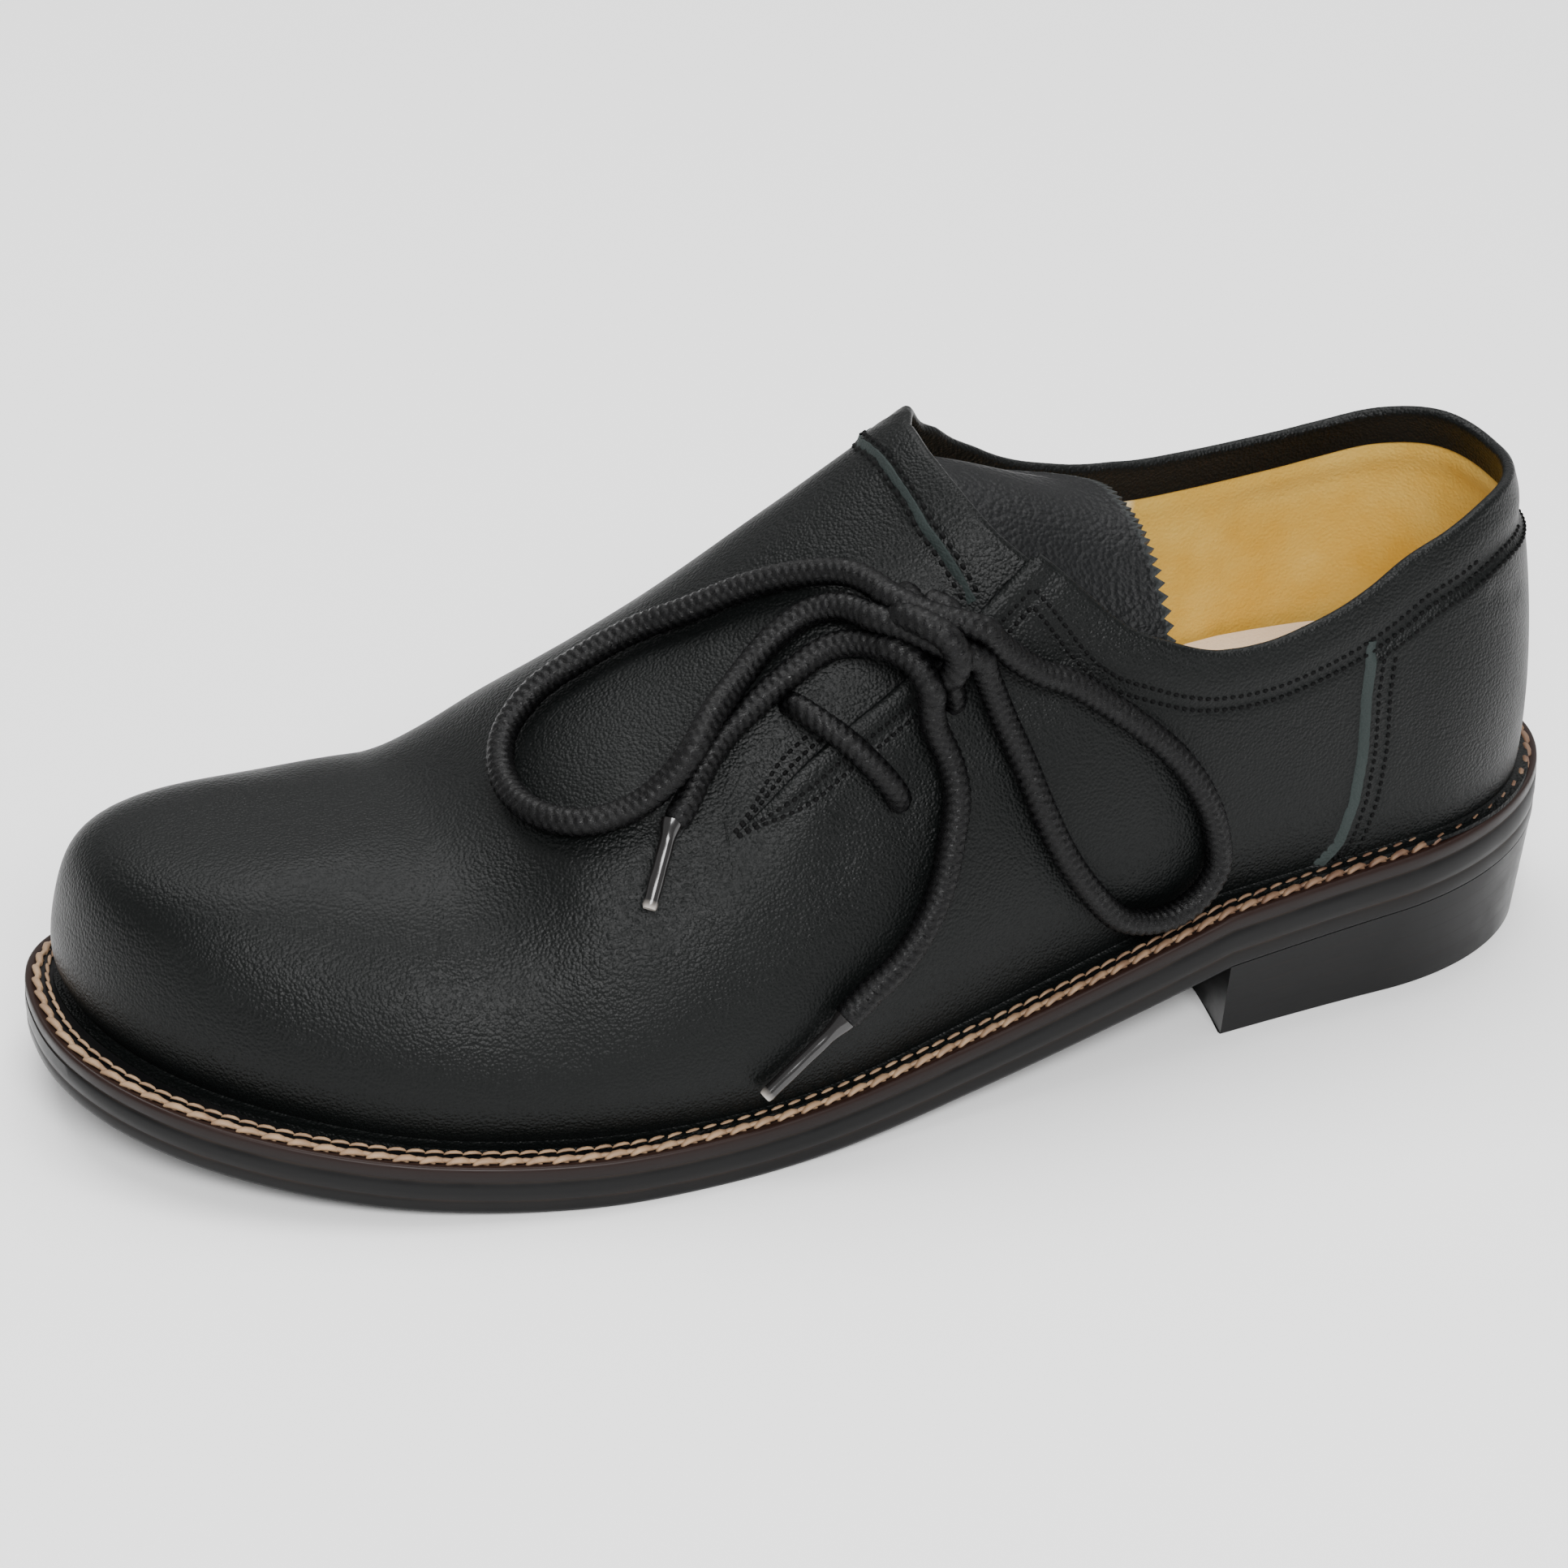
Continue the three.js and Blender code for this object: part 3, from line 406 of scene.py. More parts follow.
def apply_modifier(piece, kind, **settings):
    clear_selection()
    piece.select_set(True)
    bpy.context.view_layer.objects.active = piece
    modifier = piece.modifiers.new(kind.lower(), kind)
    for key, value in settings.items():
        setattr(modifier, key, value)
    bpy.ops.object.modifier_apply(modifier=modifier.name)


def smooth(piece, degrees=40):
    clear_selection()
    piece.select_set(True)
    bpy.context.view_layer.objects.active = piece
    bpy.ops.object.shade_smooth_by_angle(angle=math.radians(degrees))


def finish_piece(piece, material, slot, *nodes):
    piece.data.materials.clear()
    piece.data.materials.append(material)
    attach(piece, "root")
    if nodes:
        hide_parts(*nodes)
    print(piece.name, len(piece.data.polygons), "faces")


# %% [markdown]
# ## Finishes
# Black leather is never one flat black. It has a pebbled grain, soft wrinkles where it flexes, and
# an uneven tone from handling. Each of these effects is a node group that puts out a height or a
# mask, and each material places the groups with its own values.

# %% Shader helpers
def new_group(name, inputs, output):
    group = bpy.data.node_groups.new(name, "ShaderNodeTree")
    for label, kind, value in inputs:
        socket = group.interface.new_socket(label, in_out="INPUT", socket_type=kind)
        if value is not None:
            socket.default_value = value
    group.interface.new_socket(output, in_out="OUTPUT", socket_type="NodeSocketFloat")
    return group, group.nodes.new("NodeGroupInput"), group.nodes.new("NodeGroupOutput")


def math_node(tree, operation, first, second=None, third=None):
    node = tree.nodes.new("ShaderNodeMath")
    node.operation = operation
    for index, value in enumerate((first, second, third)):
        if value is None:
            continue
        if isinstance(value, (int, float)):
            node.inputs[index].default_value = value
        else:
            tree.links.new(value, node.inputs[index])
    return node.outputs[0]


def make_grain():
    """Pebbled grain: small cells with valleys between them, broken up by noise."""
    group, given, result = new_group("leather_grain", [
        ("Place", "NodeSocketVector", None),
        ("Cells per metre", "NodeSocketFloat", 900.0),
        ("Roughness", "NodeSocketFloat", 0.5),
    ], "Height")
    cells = group.nodes.new("ShaderNodeTexVoronoi")
    cells.feature = "SMOOTH_F1"
    cells.inputs["Smoothness"].default_value = 0.35
    noise = group.nodes.new("ShaderNodeTexNoise")
    noise.inputs["Detail"].default_value = 3
    links = group.links
    links.new(given.outputs["Place"], cells.inputs["Vector"])
    links.new(given.outputs["Cells per metre"], cells.inputs["Scale"])
    links.new(given.outputs["Place"], noise.inputs["Vector"])
    links.new(math_node(group, "MULTIPLY", given.outputs["Cells per metre"], 2.3), noise.inputs["Scale"])
    pebble = math_node(group, "SUBTRACT", 1.0, cells.outputs["Distance"])
    rough = math_node(group, "MULTIPLY", noise.outputs["Fac"], given.outputs["Roughness"])
    links.new(math_node(group, "ADD", pebble, rough), result.inputs["Height"])
    return group


def make_wrinkles():
    """Fine wrinkles: stretched noise folded into thin valleys."""
    group, given, result = new_group("fine_wrinkles", [
        ("Place", "NodeSocketVector", None),
        ("Folds per metre", "NodeSocketFloat", 160.0),
        ("Stretch", "NodeSocketVector", (0.35, 1.0, 1.0)),
    ], "Height")
    stretch = group.nodes.new("ShaderNodeVectorMath")
    stretch.operation = "MULTIPLY"
    noise = group.nodes.new("ShaderNodeTexNoise")
    noise.inputs["Detail"].default_value = 4
    noise.inputs["Distortion"].default_value = 0.6
    links = group.links
    links.new(given.outputs["Place"], stretch.inputs[0])
    links.new(given.outputs["Stretch"], stretch.inputs[1])
    links.new(stretch.outputs[0], noise.inputs["Vector"])
    links.new(given.outputs["Folds per metre"], noise.inputs["Scale"])
    centred = math_node(group, "SUBTRACT", noise.outputs["Fac"], 0.5)
    fold = math_node(group, "ABSOLUTE", centred)
    steep = math_node(group, "MULTIPLY", fold, 5.0)
    links.new(math_node(group, "MINIMUM", steep, 1.0), result.inputs["Height"])
    return group


def make_mottle():
    """Slow uneven tone, as of handled leather."""
    group, given, result = new_group("mottle", [
        ("Place", "NodeSocketVector", None),
        ("Spots per metre", "NodeSocketFloat", 40.0),
    ], "Mask")
    noise = group.nodes.new("ShaderNodeTexNoise")
    noise.inputs["Detail"].default_value = 5
    group.links.new(given.outputs["Place"], noise.inputs["Vector"])
    group.links.new(given.outputs["Spots per metre"], noise.inputs["Scale"])
    spread = group.nodes.new("ShaderNodeMapRange")
    spread.inputs["From Min"].default_value = 0.35
    spread.inputs["From Max"].default_value = 0.65
    group.links.new(noise.outputs["Fac"], spread.inputs["Value"])
    group.links.new(spread.outputs["Result"], result.inputs["Mask"])
    return group


GRAIN, WRINKLES, MOTTLE = make_grain(), make_wrinkles(), make_mottle()
# a Mix node has one set of sockets for each kind of data, and these are the ones for colours
MIX_BELOW, MIX_ABOVE, MIX_RESULT = 6, 7, 2


class Finish:
    """A material under construction: its tree, its shader and its place on the piece."""

    def __init__(self, name, colour, roughness, place="Object"):
        self.material = bpy.data.materials.new(name)
        self.material.use_nodes = True
        self.tree = self.material.node_tree
        self.shader = self.tree.nodes["Principled BSDF"]
        self.shader.inputs["Base Color"].default_value = (*colour, 1)
        self.shader.inputs["Roughness"].default_value = roughness
        self.place = self.tree.nodes.new("ShaderNodeTexCoord").outputs[place]
        self.normal = None
        self.colour = colour

    def group(self, group, **values):
        node = self.tree.nodes.new("ShaderNodeGroup")
        node.node_tree = group
        self.tree.links.new(self.place, node.inputs["Place"])
        for key, value in values.items():
            node.inputs[key.replace("_", " ")].default_value = value
        return node.outputs[0]

    def bump(self, height, distance, strength=1.0):
        node = self.tree.nodes.new("ShaderNodeBump")
        node.inputs["Distance"].default_value = distance * MM
        node.inputs["Strength"].default_value = strength
        self.tree.links.new(height, node.inputs["Height"])
        if self.normal is not None:
            self.tree.links.new(self.normal, node.inputs["Normal"])
        self.normal = node.outputs["Normal"]
        self.tree.links.new(self.normal, self.shader.inputs["Normal"])

    def tint(self, mask, colour):
        """Mixes a colour over what the base colour was, where the mask says so."""
        node = self.tree.nodes.new("ShaderNodeMix")
        node.data_type = "RGBA"
        base = self.shader.inputs["Base Color"]
        if base.is_linked:
            self.tree.links.new(base.links[0].from_socket, node.inputs[MIX_BELOW])
        else:
            node.inputs[MIX_BELOW].default_value = (*self.colour, 1)
        node.inputs[MIX_ABOVE].default_value = (*colour, 1)
        self.tree.links.new(mask, node.inputs[0])
        self.tree.links.new(node.outputs[MIX_RESULT], base)

    def product(self, first, second):
        return math_node(self.tree, "MULTIPLY", first, second)

    def shine(self, value):
        self.shader.inputs["Specular IOR Level"].default_value = value

    def gloss(self, mask, low, high):
        spread = self.tree.nodes.new("ShaderNodeMapRange")
        spread.inputs["To Min"].default_value = low
        spread.inputs["To Max"].default_value = high
        self.tree.links.new(mask, spread.inputs["Value"])
        self.tree.links.new(spread.outputs["Result"], self.shader.inputs["Roughness"])

    def attribute(self, name):
        node = self.tree.nodes.new("ShaderNodeAttribute")
        node.attribute_name = name
        return node.outputs["Fac"]


# %% Finishes of this shoe
def black_leather(name, colour, roughness, cells, grain, wrinkle, flex=None):
    """cells are per metre. grain, wrinkle and flex are bump heights in millimetres."""
    finish = Finish(name, colour, roughness)
    mottle = finish.group(MOTTLE, Spots_per_metre=45.0)
    finish.tint(finish.product(mottle, 0.35), tuple(c * 1.7 for c in colour))
    finish.gloss(mottle, roughness - 0.04, roughness + 0.06)
    finish.shine(0.15)
    if flex is not None:
        folds = finish.group(WRINKLES, Folds_per_metre=850.0, Stretch=(0.3, 1.0, 1.0))
        finish.bump(finish.product(folds, finish.attribute("flex")), flex)
    finish.bump(finish.group(WRINKLES, Folds_per_metre=110.0), wrinkle)
    finish.bump(finish.group(GRAIN, Cells_per_metre=cells), grain)
    return finish


SKIN_LEATHER = black_leather(
    "skin_leather", (0.0021, 0.0026, 0.0025), 0.39, 1600.0, 0.15, 0.02, 0.07
).material
tongue_finish = black_leather("tongue_leather", (0.0028, 0.0031, 0.0034), 0.46, 1000.0, 0.24, 0.04)
tongue_finish.tint(tongue_finish.attribute("worn"), (0.025, 0.028, 0.028))
TONGUE_LEATHER = tongue_finish.material
CUT_EDGE = black_leather("cut_edge", (0.019, 0.025, 0.024), 0.65, 1900.0, 0.12, 0.08).material
lining_finish = Finish("lining_suede", (0.50, 0.285, 0.030), 0.85)
lining_finish.tint(lining_finish.group(MOTTLE, Spots_per_metre=60.0), (0.56, 0.37, 0.075))
lining_finish.tint(lining_finish.attribute("front"), (0.74, 0.66, 0.44))
lining_finish.bump(lining_finish.group(GRAIN, Cells_per_metre=1400.0), 0.12)
LINING = lining_finish.material
insole_finish = Finish("insole_leather", (0.76, 0.60, 0.44), 0.75)
insole_finish.tint(insole_finish.group(MOTTLE, Spots_per_metre=30.0), (0.80, 0.66, 0.50))
insole_finish.bump(insole_finish.group(GRAIN, Cells_per_metre=1500.0), 0.08)
INSOLE = insole_finish.material


def inked(name, colour, spots):
    """Black ink, burnished unevenly. Returns the finish and its mottle."""
    finish = Finish(name, colour, 0.36)
    finish.shine(0.17)
    mottle = finish.group(MOTTLE, Spots_per_metre=spots)
    finish.tint(finish.product(mottle, 0.3), (0.008, 0.0075, 0.0075))
    return finish, mottle


edge_finish, edge_mottle = inked("sole_edge", (0.0040, 0.0040, 0.0042), 90.0)
edge_finish.tint(edge_finish.product(edge_finish.attribute("margin"), 0.8), (0.018, 0.0075, 0.0055))
broken_line = math_node(edge_finish.tree, "ADD", edge_finish.product(edge_mottle, 0.5), 0.35)
edge_finish.tint(edge_finish.product(edge_finish.attribute("line"), broken_line), (0.020, 0.014, 0.011))
edge_finish.gloss(edge_mottle, 0.32, 0.46)
edge_finish.bump(edge_finish.group(WRINKLES, Folds_per_metre=300.0, Stretch=(0.2, 0.2, 2.0)), 0.004)
SOLE_EDGE = edge_finish.material

heel_finish, heel_mottle = inked("heel_stack", (0.0038, 0.0038, 0.0040), 110.0)
faint = heel_finish.product(heel_finish.attribute("line"), heel_mottle)
heel_finish.tint(heel_finish.product(faint, 0.4), (0.016, 0.011, 0.009))
heel_finish.gloss(heel_mottle, 0.3, 0.44)
heel_finish.bump(heel_finish.group(WRINKLES, Folds_per_metre=260.0, Stretch=(0.3, 0.3, 2.5)), 0.003)
HEEL_STACK = heel_finish.material

thread_finish = Finish("welt_thread", (0.31, 0.20, 0.115), 0.6, "UV")
twist = thread_finish.tree.nodes.new("ShaderNodeTexWave")
twist.inputs["Scale"].default_value = 1.6
thread_finish.tree.links.new(thread_finish.place, twist.inputs["Vector"])
thread_finish.bump(twist.outputs["Fac"], 0.15)
# The dark mark paints shade on the thread towards the heel, over an uneven tone along the row.
thread_finish.tint(thread_finish.attribute("dark"), (0.09, 0.042, 0.022))
WELT_THREAD = thread_finish.material
seam_finish = Finish("seam_thread", (0.0010, 0.0010, 0.0011), 0.7)
seam_finish.shine(0.12)
seam_finish.bump(seam_finish.group(WRINKLES, Folds_per_metre=1500.0), 0.05)
SEAM_THREAD = seam_finish.material

lace_finish = Finish("lace_cord", (0.0018, 0.0018, 0.0020), 0.34)
# The braid's low parts between the strands are tinted darker: painted shade in the weave's valleys.
braid_valley_shade = math_node(lace_finish.tree, "SUBTRACT", 1.0, lace_finish.attribute("raised"))
lace_finish.tint(braid_valley_shade, (0.0012, 0.0012, 0.0012))
lace_finish.shine(0.17)
lace_finish.bump(lace_finish.group(WRINKLES, Folds_per_metre=2600.0), 0.05)
lace_finish.gloss(lace_finish.group(MOTTLE, Spots_per_metre=1300.0), 0.12, 0.55)
LACE_CORD = lace_finish.material
aglet_finish = Finish("aglet_film", (0.008, 0.007, 0.007), 0.2)
aglet_finish.tint(aglet_finish.group(MOTTLE, Spots_per_metre=200.0), (0.005, 0.0045, 0.0045))
aglet_finish.tint(aglet_finish.attribute("tip"), (0.35, 0.32, 0.29))
aglet_finish.shader.inputs["Coat Weight"].default_value = 0.3
AGLET = aglet_finish.material

# %% [markdown]
# ## The upper's skin
# Vamp and quarters are one piece of leather. It is lasted in patches that share their edges:
# quarter, vamp, both halves of the toe, and the inner side. The slit runs between quarter and vamp.
# The quarter's folded lip lies over the vamp, so its side is raised and the vamp's is pressed in.

# %% Edges drawn on the last
OUTER_TOPLINE = [
    # way, up
    [0.000, 0.370],
    [0.060, 0.374],
    [0.120, 0.368],
    [0.160, 0.346],
    [0.185, 0.328],
    [0.206, 0.306],
    [0.227, 0.291],
    [0.247, 0.284],
    [0.277, 0.282],
    [0.307, 0.298],
    [0.333, 0.336],
    [0.363, 0.401],
    [0.383, 0.475],
    [0.404, 0.565],
]
INNER_TOPLINE = [
    # way, up
    [0.000, 0.370],
    [0.064, 0.373],
    [0.116, 0.356],
    [0.162, 0.335],
    [0.204, 0.329],
    [0.246, 0.333],
    [0.289, 0.352],
    [0.332, 0.396],
    [0.383, 0.497],
    [0.410, 0.590],
    [0.432, 0.740],
    [0.445, 1.000],
]
VAMP_TOP = [
    # share, way, up
    [0.00, 0.407, 0.578],
    [0.25, 0.425, 0.670],
    [0.50, 0.437, 0.770],
    [0.75, 0.444, 0.885],
    [1.00, 0.445, 1.000],
]
SLIT = [
    # share from the lower end, way, up
    [0.00, 0.591, 0.485],
    [0.09, 0.574, 0.496],
    [0.26, 0.543, 0.515],
    [0.51, 0.492, 0.526],
    [0.73, 0.452, 0.534],
    [0.87, 0.427, 0.548],
    [1.00, 0.404, 0.565],
]
SLIT_FOOT = 0.56
SLIT_LOW = 0.42
QUARTER_END, QUARTER_END_UP = 0.404, 0.565
VAMP_START, VAMP_START_UP = 0.407, 0.578
RIDGE_START = 0.445
RIDGE_WAYS = [RIDGE_START, 0.475, 0.51, 0.55, 0.59, 0.63, 0.67, 0.705, TOE_START]
RIDGE_SPANS = len(RIDGE_WAYS) - 1
BAND_SPANS = 5
SPANS = BAND_SPANS + RIDGE_SPANS
BAND_FOOT = 0.62
INNER_FOOT = 0.52
EYELETS = [
    # way, up
    [0.546, 0.628],
    [0.499, 0.379],
    [0.474, 0.660],
    [0.460, 0.455],
]
HEIGHTS = np.concatenate([np.linspace(0, SLIT_LOW, 22)[:-1], np.linspace(SLIT_LOW, 1, 32)])
SLIT_ROW = 21


def slit_line(height):
    height = np.asarray(height, float)
    low = read(SLIT, 0.0)
    share = np.clip(height / SLIT_LOW, 0, 1)
    below = np.stack([mix(SLIT_FOOT, low[0], share), low[1] * share], -1)
    above_it = read(SLIT, np.clip((height - SLIT_LOW) / (1 - SLIT_LOW), 0, 1))
    return np.where((height < SLIT_LOW)[..., None], below, above_it)


def quarter_place(s, height):
    top_way = QUARTER_END * s
    foot = top_way + (SLIT_FOOT - QUARTER_END) * s**2.3
    top_up = read(OUTER_TOPLINE, top_way)[..., 0]
    slit = slit_line(height)
    way = mix(foot, top_way, height) + s**3 * (slit[..., 0] - mix(SLIT_FOOT, QUARTER_END, height))
    return way, top_up * height + s**3 * (slit[..., 1] - QUARTER_END_UP * height)


def vamp_place(s, height):
    index = s * SPANS
    on_ridge = index >= BAND_SPANS
    band = read(VAMP_TOP, np.clip(index / BAND_SPANS, 0, 1))
    ridge = np.interp(index - BAND_SPANS, np.arange(len(RIDGE_WAYS)), RIDGE_WAYS)
    top_way = np.where(on_ridge, ridge, band[..., 0])
    top_up = np.where(on_ridge, 1.0, band[..., 1])
    band_foot = mix(SLIT_FOOT, BAND_FOOT, index / BAND_SPANS)
    ridge_foot = mix(BAND_FOOT, TOE_START, (index - BAND_SPANS) / RIDGE_SPANS)
    foot = np.where(on_ridge, ridge_foot, band_foot)
    slit = slit_line(height)
    weight = (1 - s) ** 1.5
    rise = step_between(SLIT_LOW, 1, height)
    lean = slit[..., 0] - mix(SLIT_FOOT, VAMP_START, height) + (VAMP_START - QUARTER_END) * rise
    lift = slit[..., 1] - VAMP_START_UP * height + (VAMP_START_UP - QUARTER_END_UP) * rise
    return mix(foot, top_way, height) + weight * lean, top_up * height + weight * lift


def inner_place(top_way, height):
    on_ridge = top_way >= RIDGE_START - 1e-9
    top_up = np.where(on_ridge, 1.0, read(INNER_TOPLINE, top_way)[..., 0])
    ridge_foot = mix(TOE_START, INNER_FOOT, (TOE_START - top_way) / (TOE_START - RIDGE_START))
    side_foot = top_way + (INNER_FOOT - RIDGE_START) * (top_way / RIDGE_START) ** 2.3
    return mix(np.where(on_ridge, ridge_foot, side_foot), top_way, height), top_up * height


def polyline(side, ways, ups):
    return last_frame(side, ways, ups)[0]


def distance_to(points, line):
    """Distance of each point to a dense line, and the share of the line where it is nearest."""
    flat = points.reshape(-1, 3)
    best = np.full(len(flat), 1e9)
    share = np.zeros(len(flat))
    for index, spot in enumerate(line):
        gap = np.sqrt(((flat - spot) ** 2).sum(1))
        closer = gap < best
        best = np.where(closer, gap, best)
        share = np.where(closer, index / (len(line) - 1), share)
    return best.reshape(points.shape[:-1]), share.reshape(points.shape[:-1])


slit_rows = read(SLIT, np.linspace(0, 1, 120))
SLIT_LINE = polyline(-1, slit_rows[:, 0], slit_rows[:, 1])
outer_ways = np.linspace(0, QUARTER_END, 160)
OUTER_TOP = polyline(-1, outer_ways, read(OUTER_TOPLINE, outer_ways)[:, 0])
inner_ways = np.linspace(0, RIDGE_START, 160)
INNER_TOP = polyline(1, inner_ways, read(INNER_TOPLINE, inner_ways)[:, 0])

# %% [markdown]
# ## Relief
# Seams, laps and creases are soft steps, troughs and ridges over the last, in millimetres. Each
# crease is one row of a table, from one place on the last to another, as a maker would mark it.

# %% Relief
LAP, LIP, VAMP_SINK, BAND_STEP, COUNTER_STEP = 1.7, 0.75, 1.3, 0.85, 0.75
# millimetres along the side of the last while way goes from 0 to 1
WAY_LENGTH = 335.0
BAND_LINE = [
    # up, way
    [0.560, 0.4395],
    [0.660, 0.4485],
    [0.743, 0.4560],
    [0.870, 0.4610],
    [1.000, 0.4640],
    [1.120, 0.4650],
    [1.230, 0.4600],
    [1.300, 0.4300],
]
COUNTER_LINE = [
    # up, way
    [0.000, 0.2380],
    [0.026, 0.2230],
    [0.072, 0.2160],
    [0.128, 0.2130],
    [0.192, 0.2130],
    [0.260, 0.2090],
    [0.400, 0.2000],
]
CREASES = [
    # side, way, up, to way, to up, depth, half width
    [-1, 0.596, 0.470, 0.655, 0.400, -0.55, 7.0],
    [-1, 0.585, 0.530, 0.640, 0.470, -0.35, 6.0],
    [-1, 0.580, 0.580, 0.640, 0.640, -0.6, 8.0],
    [-1, 0.625, 0.560, 0.690, 0.560, 0.35, 7.0],
    [-1, 0.560, 0.420, 0.615, 0.360, 0.5, 7.0],
    [-1, 0.600, 0.440, 0.650, 0.355, 0.18, 3.5],
    [-1, 0.615, 0.480, 0.640, 0.500, -0.12, 1.8],
    [-1, 0.620, 0.455, 0.650, 0.450, -0.12, 1.6],
    [-1, 0.612, 0.425, 0.640, 0.395, -0.12, 1.5],
    [-1, 0.600, 0.405, 0.622, 0.365, -0.12, 1.6],
    [-1, 0.640, 0.340, 0.710, 0.250, -0.3, 6.0],
    [-1, 0.655, 0.640, 0.700, 0.780, -0.3, 6.0],
    [-1, 0.520, 0.450, 0.545, 0.330, -0.35, 4.0],
    [-1, 0.485, 0.430, 0.500, 0.300, -0.25, 3.0],
    [-1, 0.085, 0.240, 0.130, 0.270, -0.3, 2.0],
    [-1, 0.300, 0.120, 0.330, 0.200, -0.25, 4.0],
    [-1, 0.540, 0.720, 0.570, 0.850, -0.25, 4.0],
    [-1, 0.500, 0.740, 0.530, 0.900, -0.2, 3.0],
    [1, 0.560, 0.450, 0.640, 0.600, -0.4, 6.0],
    [1, 0.600, 0.300, 0.650, 0.420, -0.3, 5.0],
    [1, 0.360, 0.200, 0.420, 0.330, -0.3, 5.0],
]


def line_way(line, up):
    rows = np.array(line)
    return np.interp(up, rows[:, 0], rows[:, 1])


def hump(distance, middle, half_width):
    """A soft ridge of height 1 at a distance from a line."""
    return np.exp(-(((distance - middle) / half_width) ** 2))


def creases(points):
    height = np.zeros(points.shape[:-1])
    t = np.linspace(0, 1, 24)
    for side, from_way, from_up, to_way, to_up, depth, half_width in CREASES:
        line = polyline(side, mix(from_way, to_way, t), mix(from_up, to_up, t))
        gap, share = distance_to(points, line)
        fade = step_between(0, 0.2, share) * (1 - step_between(0.8, 1, share)) * 0.7 + 0.3
        height += depth * fade * hump(gap, 0, half_width)
    return height


def relief(points, side, way, up, patch):
    """Height over the last, in millimetres, for points of one patch."""
    height = creases(points)
    slit_gap, share = distance_to(points, SLIT_LINE)
    if patch == "quarter":
        ramp = step_between(0, 0.2, share)
        height += LAP * ramp * (1 - step_between(2, 18, slit_gap))
        height += LIP * ramp * (1 - step_between(1.6, 3.6, slit_gap))
        height -= 0.25 * ramp * hump(slit_gap, 4.2, 1.4)
    if patch == "vamp":
        height -= VAMP_SINK * step_between(0, 0.25, share) * (1 - step_between(0, 15, slit_gap))
        beside_slit = step_between(0.01, 0.12, share) * (1 - step_between(0.3, 0.45, share))
        height -= 0.25 * hump(slit_gap, 5.5, 1.7) * beside_slit
    over = np.where(side < 0, up, 2 - up)
    if patch in ("vamp", "inner"):
        inside = (line_way(BAND_LINE, over) - way) * WAY_LENGTH
        ends = step_between(0.53, 0.56, over) * (1 - step_between(1.24, 1.32, over))
        height += BAND_STEP * step_between(-0.5, 0.5, inside) * ends
    if patch in ("quarter", "inner"):
        top_gap = distance_to(points, OUTER_TOP if side < 0 else INNER_TOP)[0]
        edge = 1 - step_between(0.40, 0.43, way)
        height += edge * (0.35 * hump(top_gap, 4.0, 3.2) - 0.4 * hump(top_gap, 9.6, 1.6))
        inside = (line_way(COUNTER_LINE, np.minimum(up, 0.4)) - way) * WAY_LENGTH
        height += COUNTER_STEP * step_between(-0.5, 0.5, inside) * step_between(10.6, 12.6, top_gap)
        height -= 0.25 * hump(inside, 4.2, 1.8) * step_between(12, 15, top_gap)
    return height


def skin_at(side, way, up, patch, lift=0.0):
    """Points on the dressed skin, with their normals."""
    point, normal = last_frame(side, way, up)
    height = relief(point, side, np.asarray(way, float), np.asarray(up, float), patch)
    return point + normal * (height + lift)[..., None], normal


def make_patch(side, place, columns, patch):
    """columns are shares of the patch, or ways of its top edge."""
    s, height = np.meshgrid(columns, HEIGHTS)
    way, up = place(s, height)
    if patch == "vamp":
        beside_slit = 1 - step_between(0, 0.25, s)
        up = up - SLIT_GAPE * step_between(0, 0.12, (height - SLIT_LOW) / (1 - SLIT_LOW)) * beside_slit
    return skin_at(side, way, up, patch)


# how far the vamp's edge hangs below the quarter's lip, in the measure of up
SLIT_GAPE = 0.022
# the vamp and the inner side have the same columns where they meet along the ridge
band_end = 35
band_share = BAND_SPANS / SPANS
vamp_shares = np.concatenate([np.linspace(0, band_share, band_end + 1)[:-1], np.linspace(band_share, 1, 57)])
ridge_ways = np.interp(vamp_shares[band_end:] * SPANS - BAND_SPANS, np.arange(len(RIDGE_WAYS)), RIDGE_WAYS)
inner_tops = np.concatenate([ridge_ways[::-1], np.linspace(RIDGE_START, 0, 112)[1:]])
inner_start = len(ridge_ways) - 1
toe_shares = np.linspace(0, 1, 60)
patches = {
    "quarter": make_patch(-1, quarter_place, np.linspace(0, 1, 150), "quarter"),
    "vamp": make_patch(-1, vamp_place, vamp_shares, "vamp"),
    "toe_outer": make_patch(-1, lambda s, h: (mix(TOE_START, 1.0, s), h), toe_shares, "toe"),
    "toe_inner": make_patch(1, lambda s, h: (mix(1.0, TOE_START, s), h), toe_shares, "toe"),
    "inner": make_patch(1, inner_place, inner_tops, "inner"),
}
quarter, quarter_normal = patches["quarter"]
vamp, vamp_normal = patches["vamp"]
inner, inner_normal = patches["inner"]
print("skin patches:", [points.shape[:2] for points, normals in patches.values()])

# %% [markdown]
# ## Rolled edges
# The leather is folded over all along the topline, the slit and the top of the vamp. Each fold is a
# half round that starts in the skin's own plane, so that no line shows where it begins. Along the
# topline it goes on down the inside of the collar as a narrow facing.

# %% Rolled edges
ROLL_STEPS = 8
TOP_RADIUS = 1.25
FACING_ROWS = 6
FACING_DEPTH = 2.5


def fade_from_end(count):
    return mix(0.2, 1.0, step_between(0, 0.35, np.linspace(0, 1, count)))


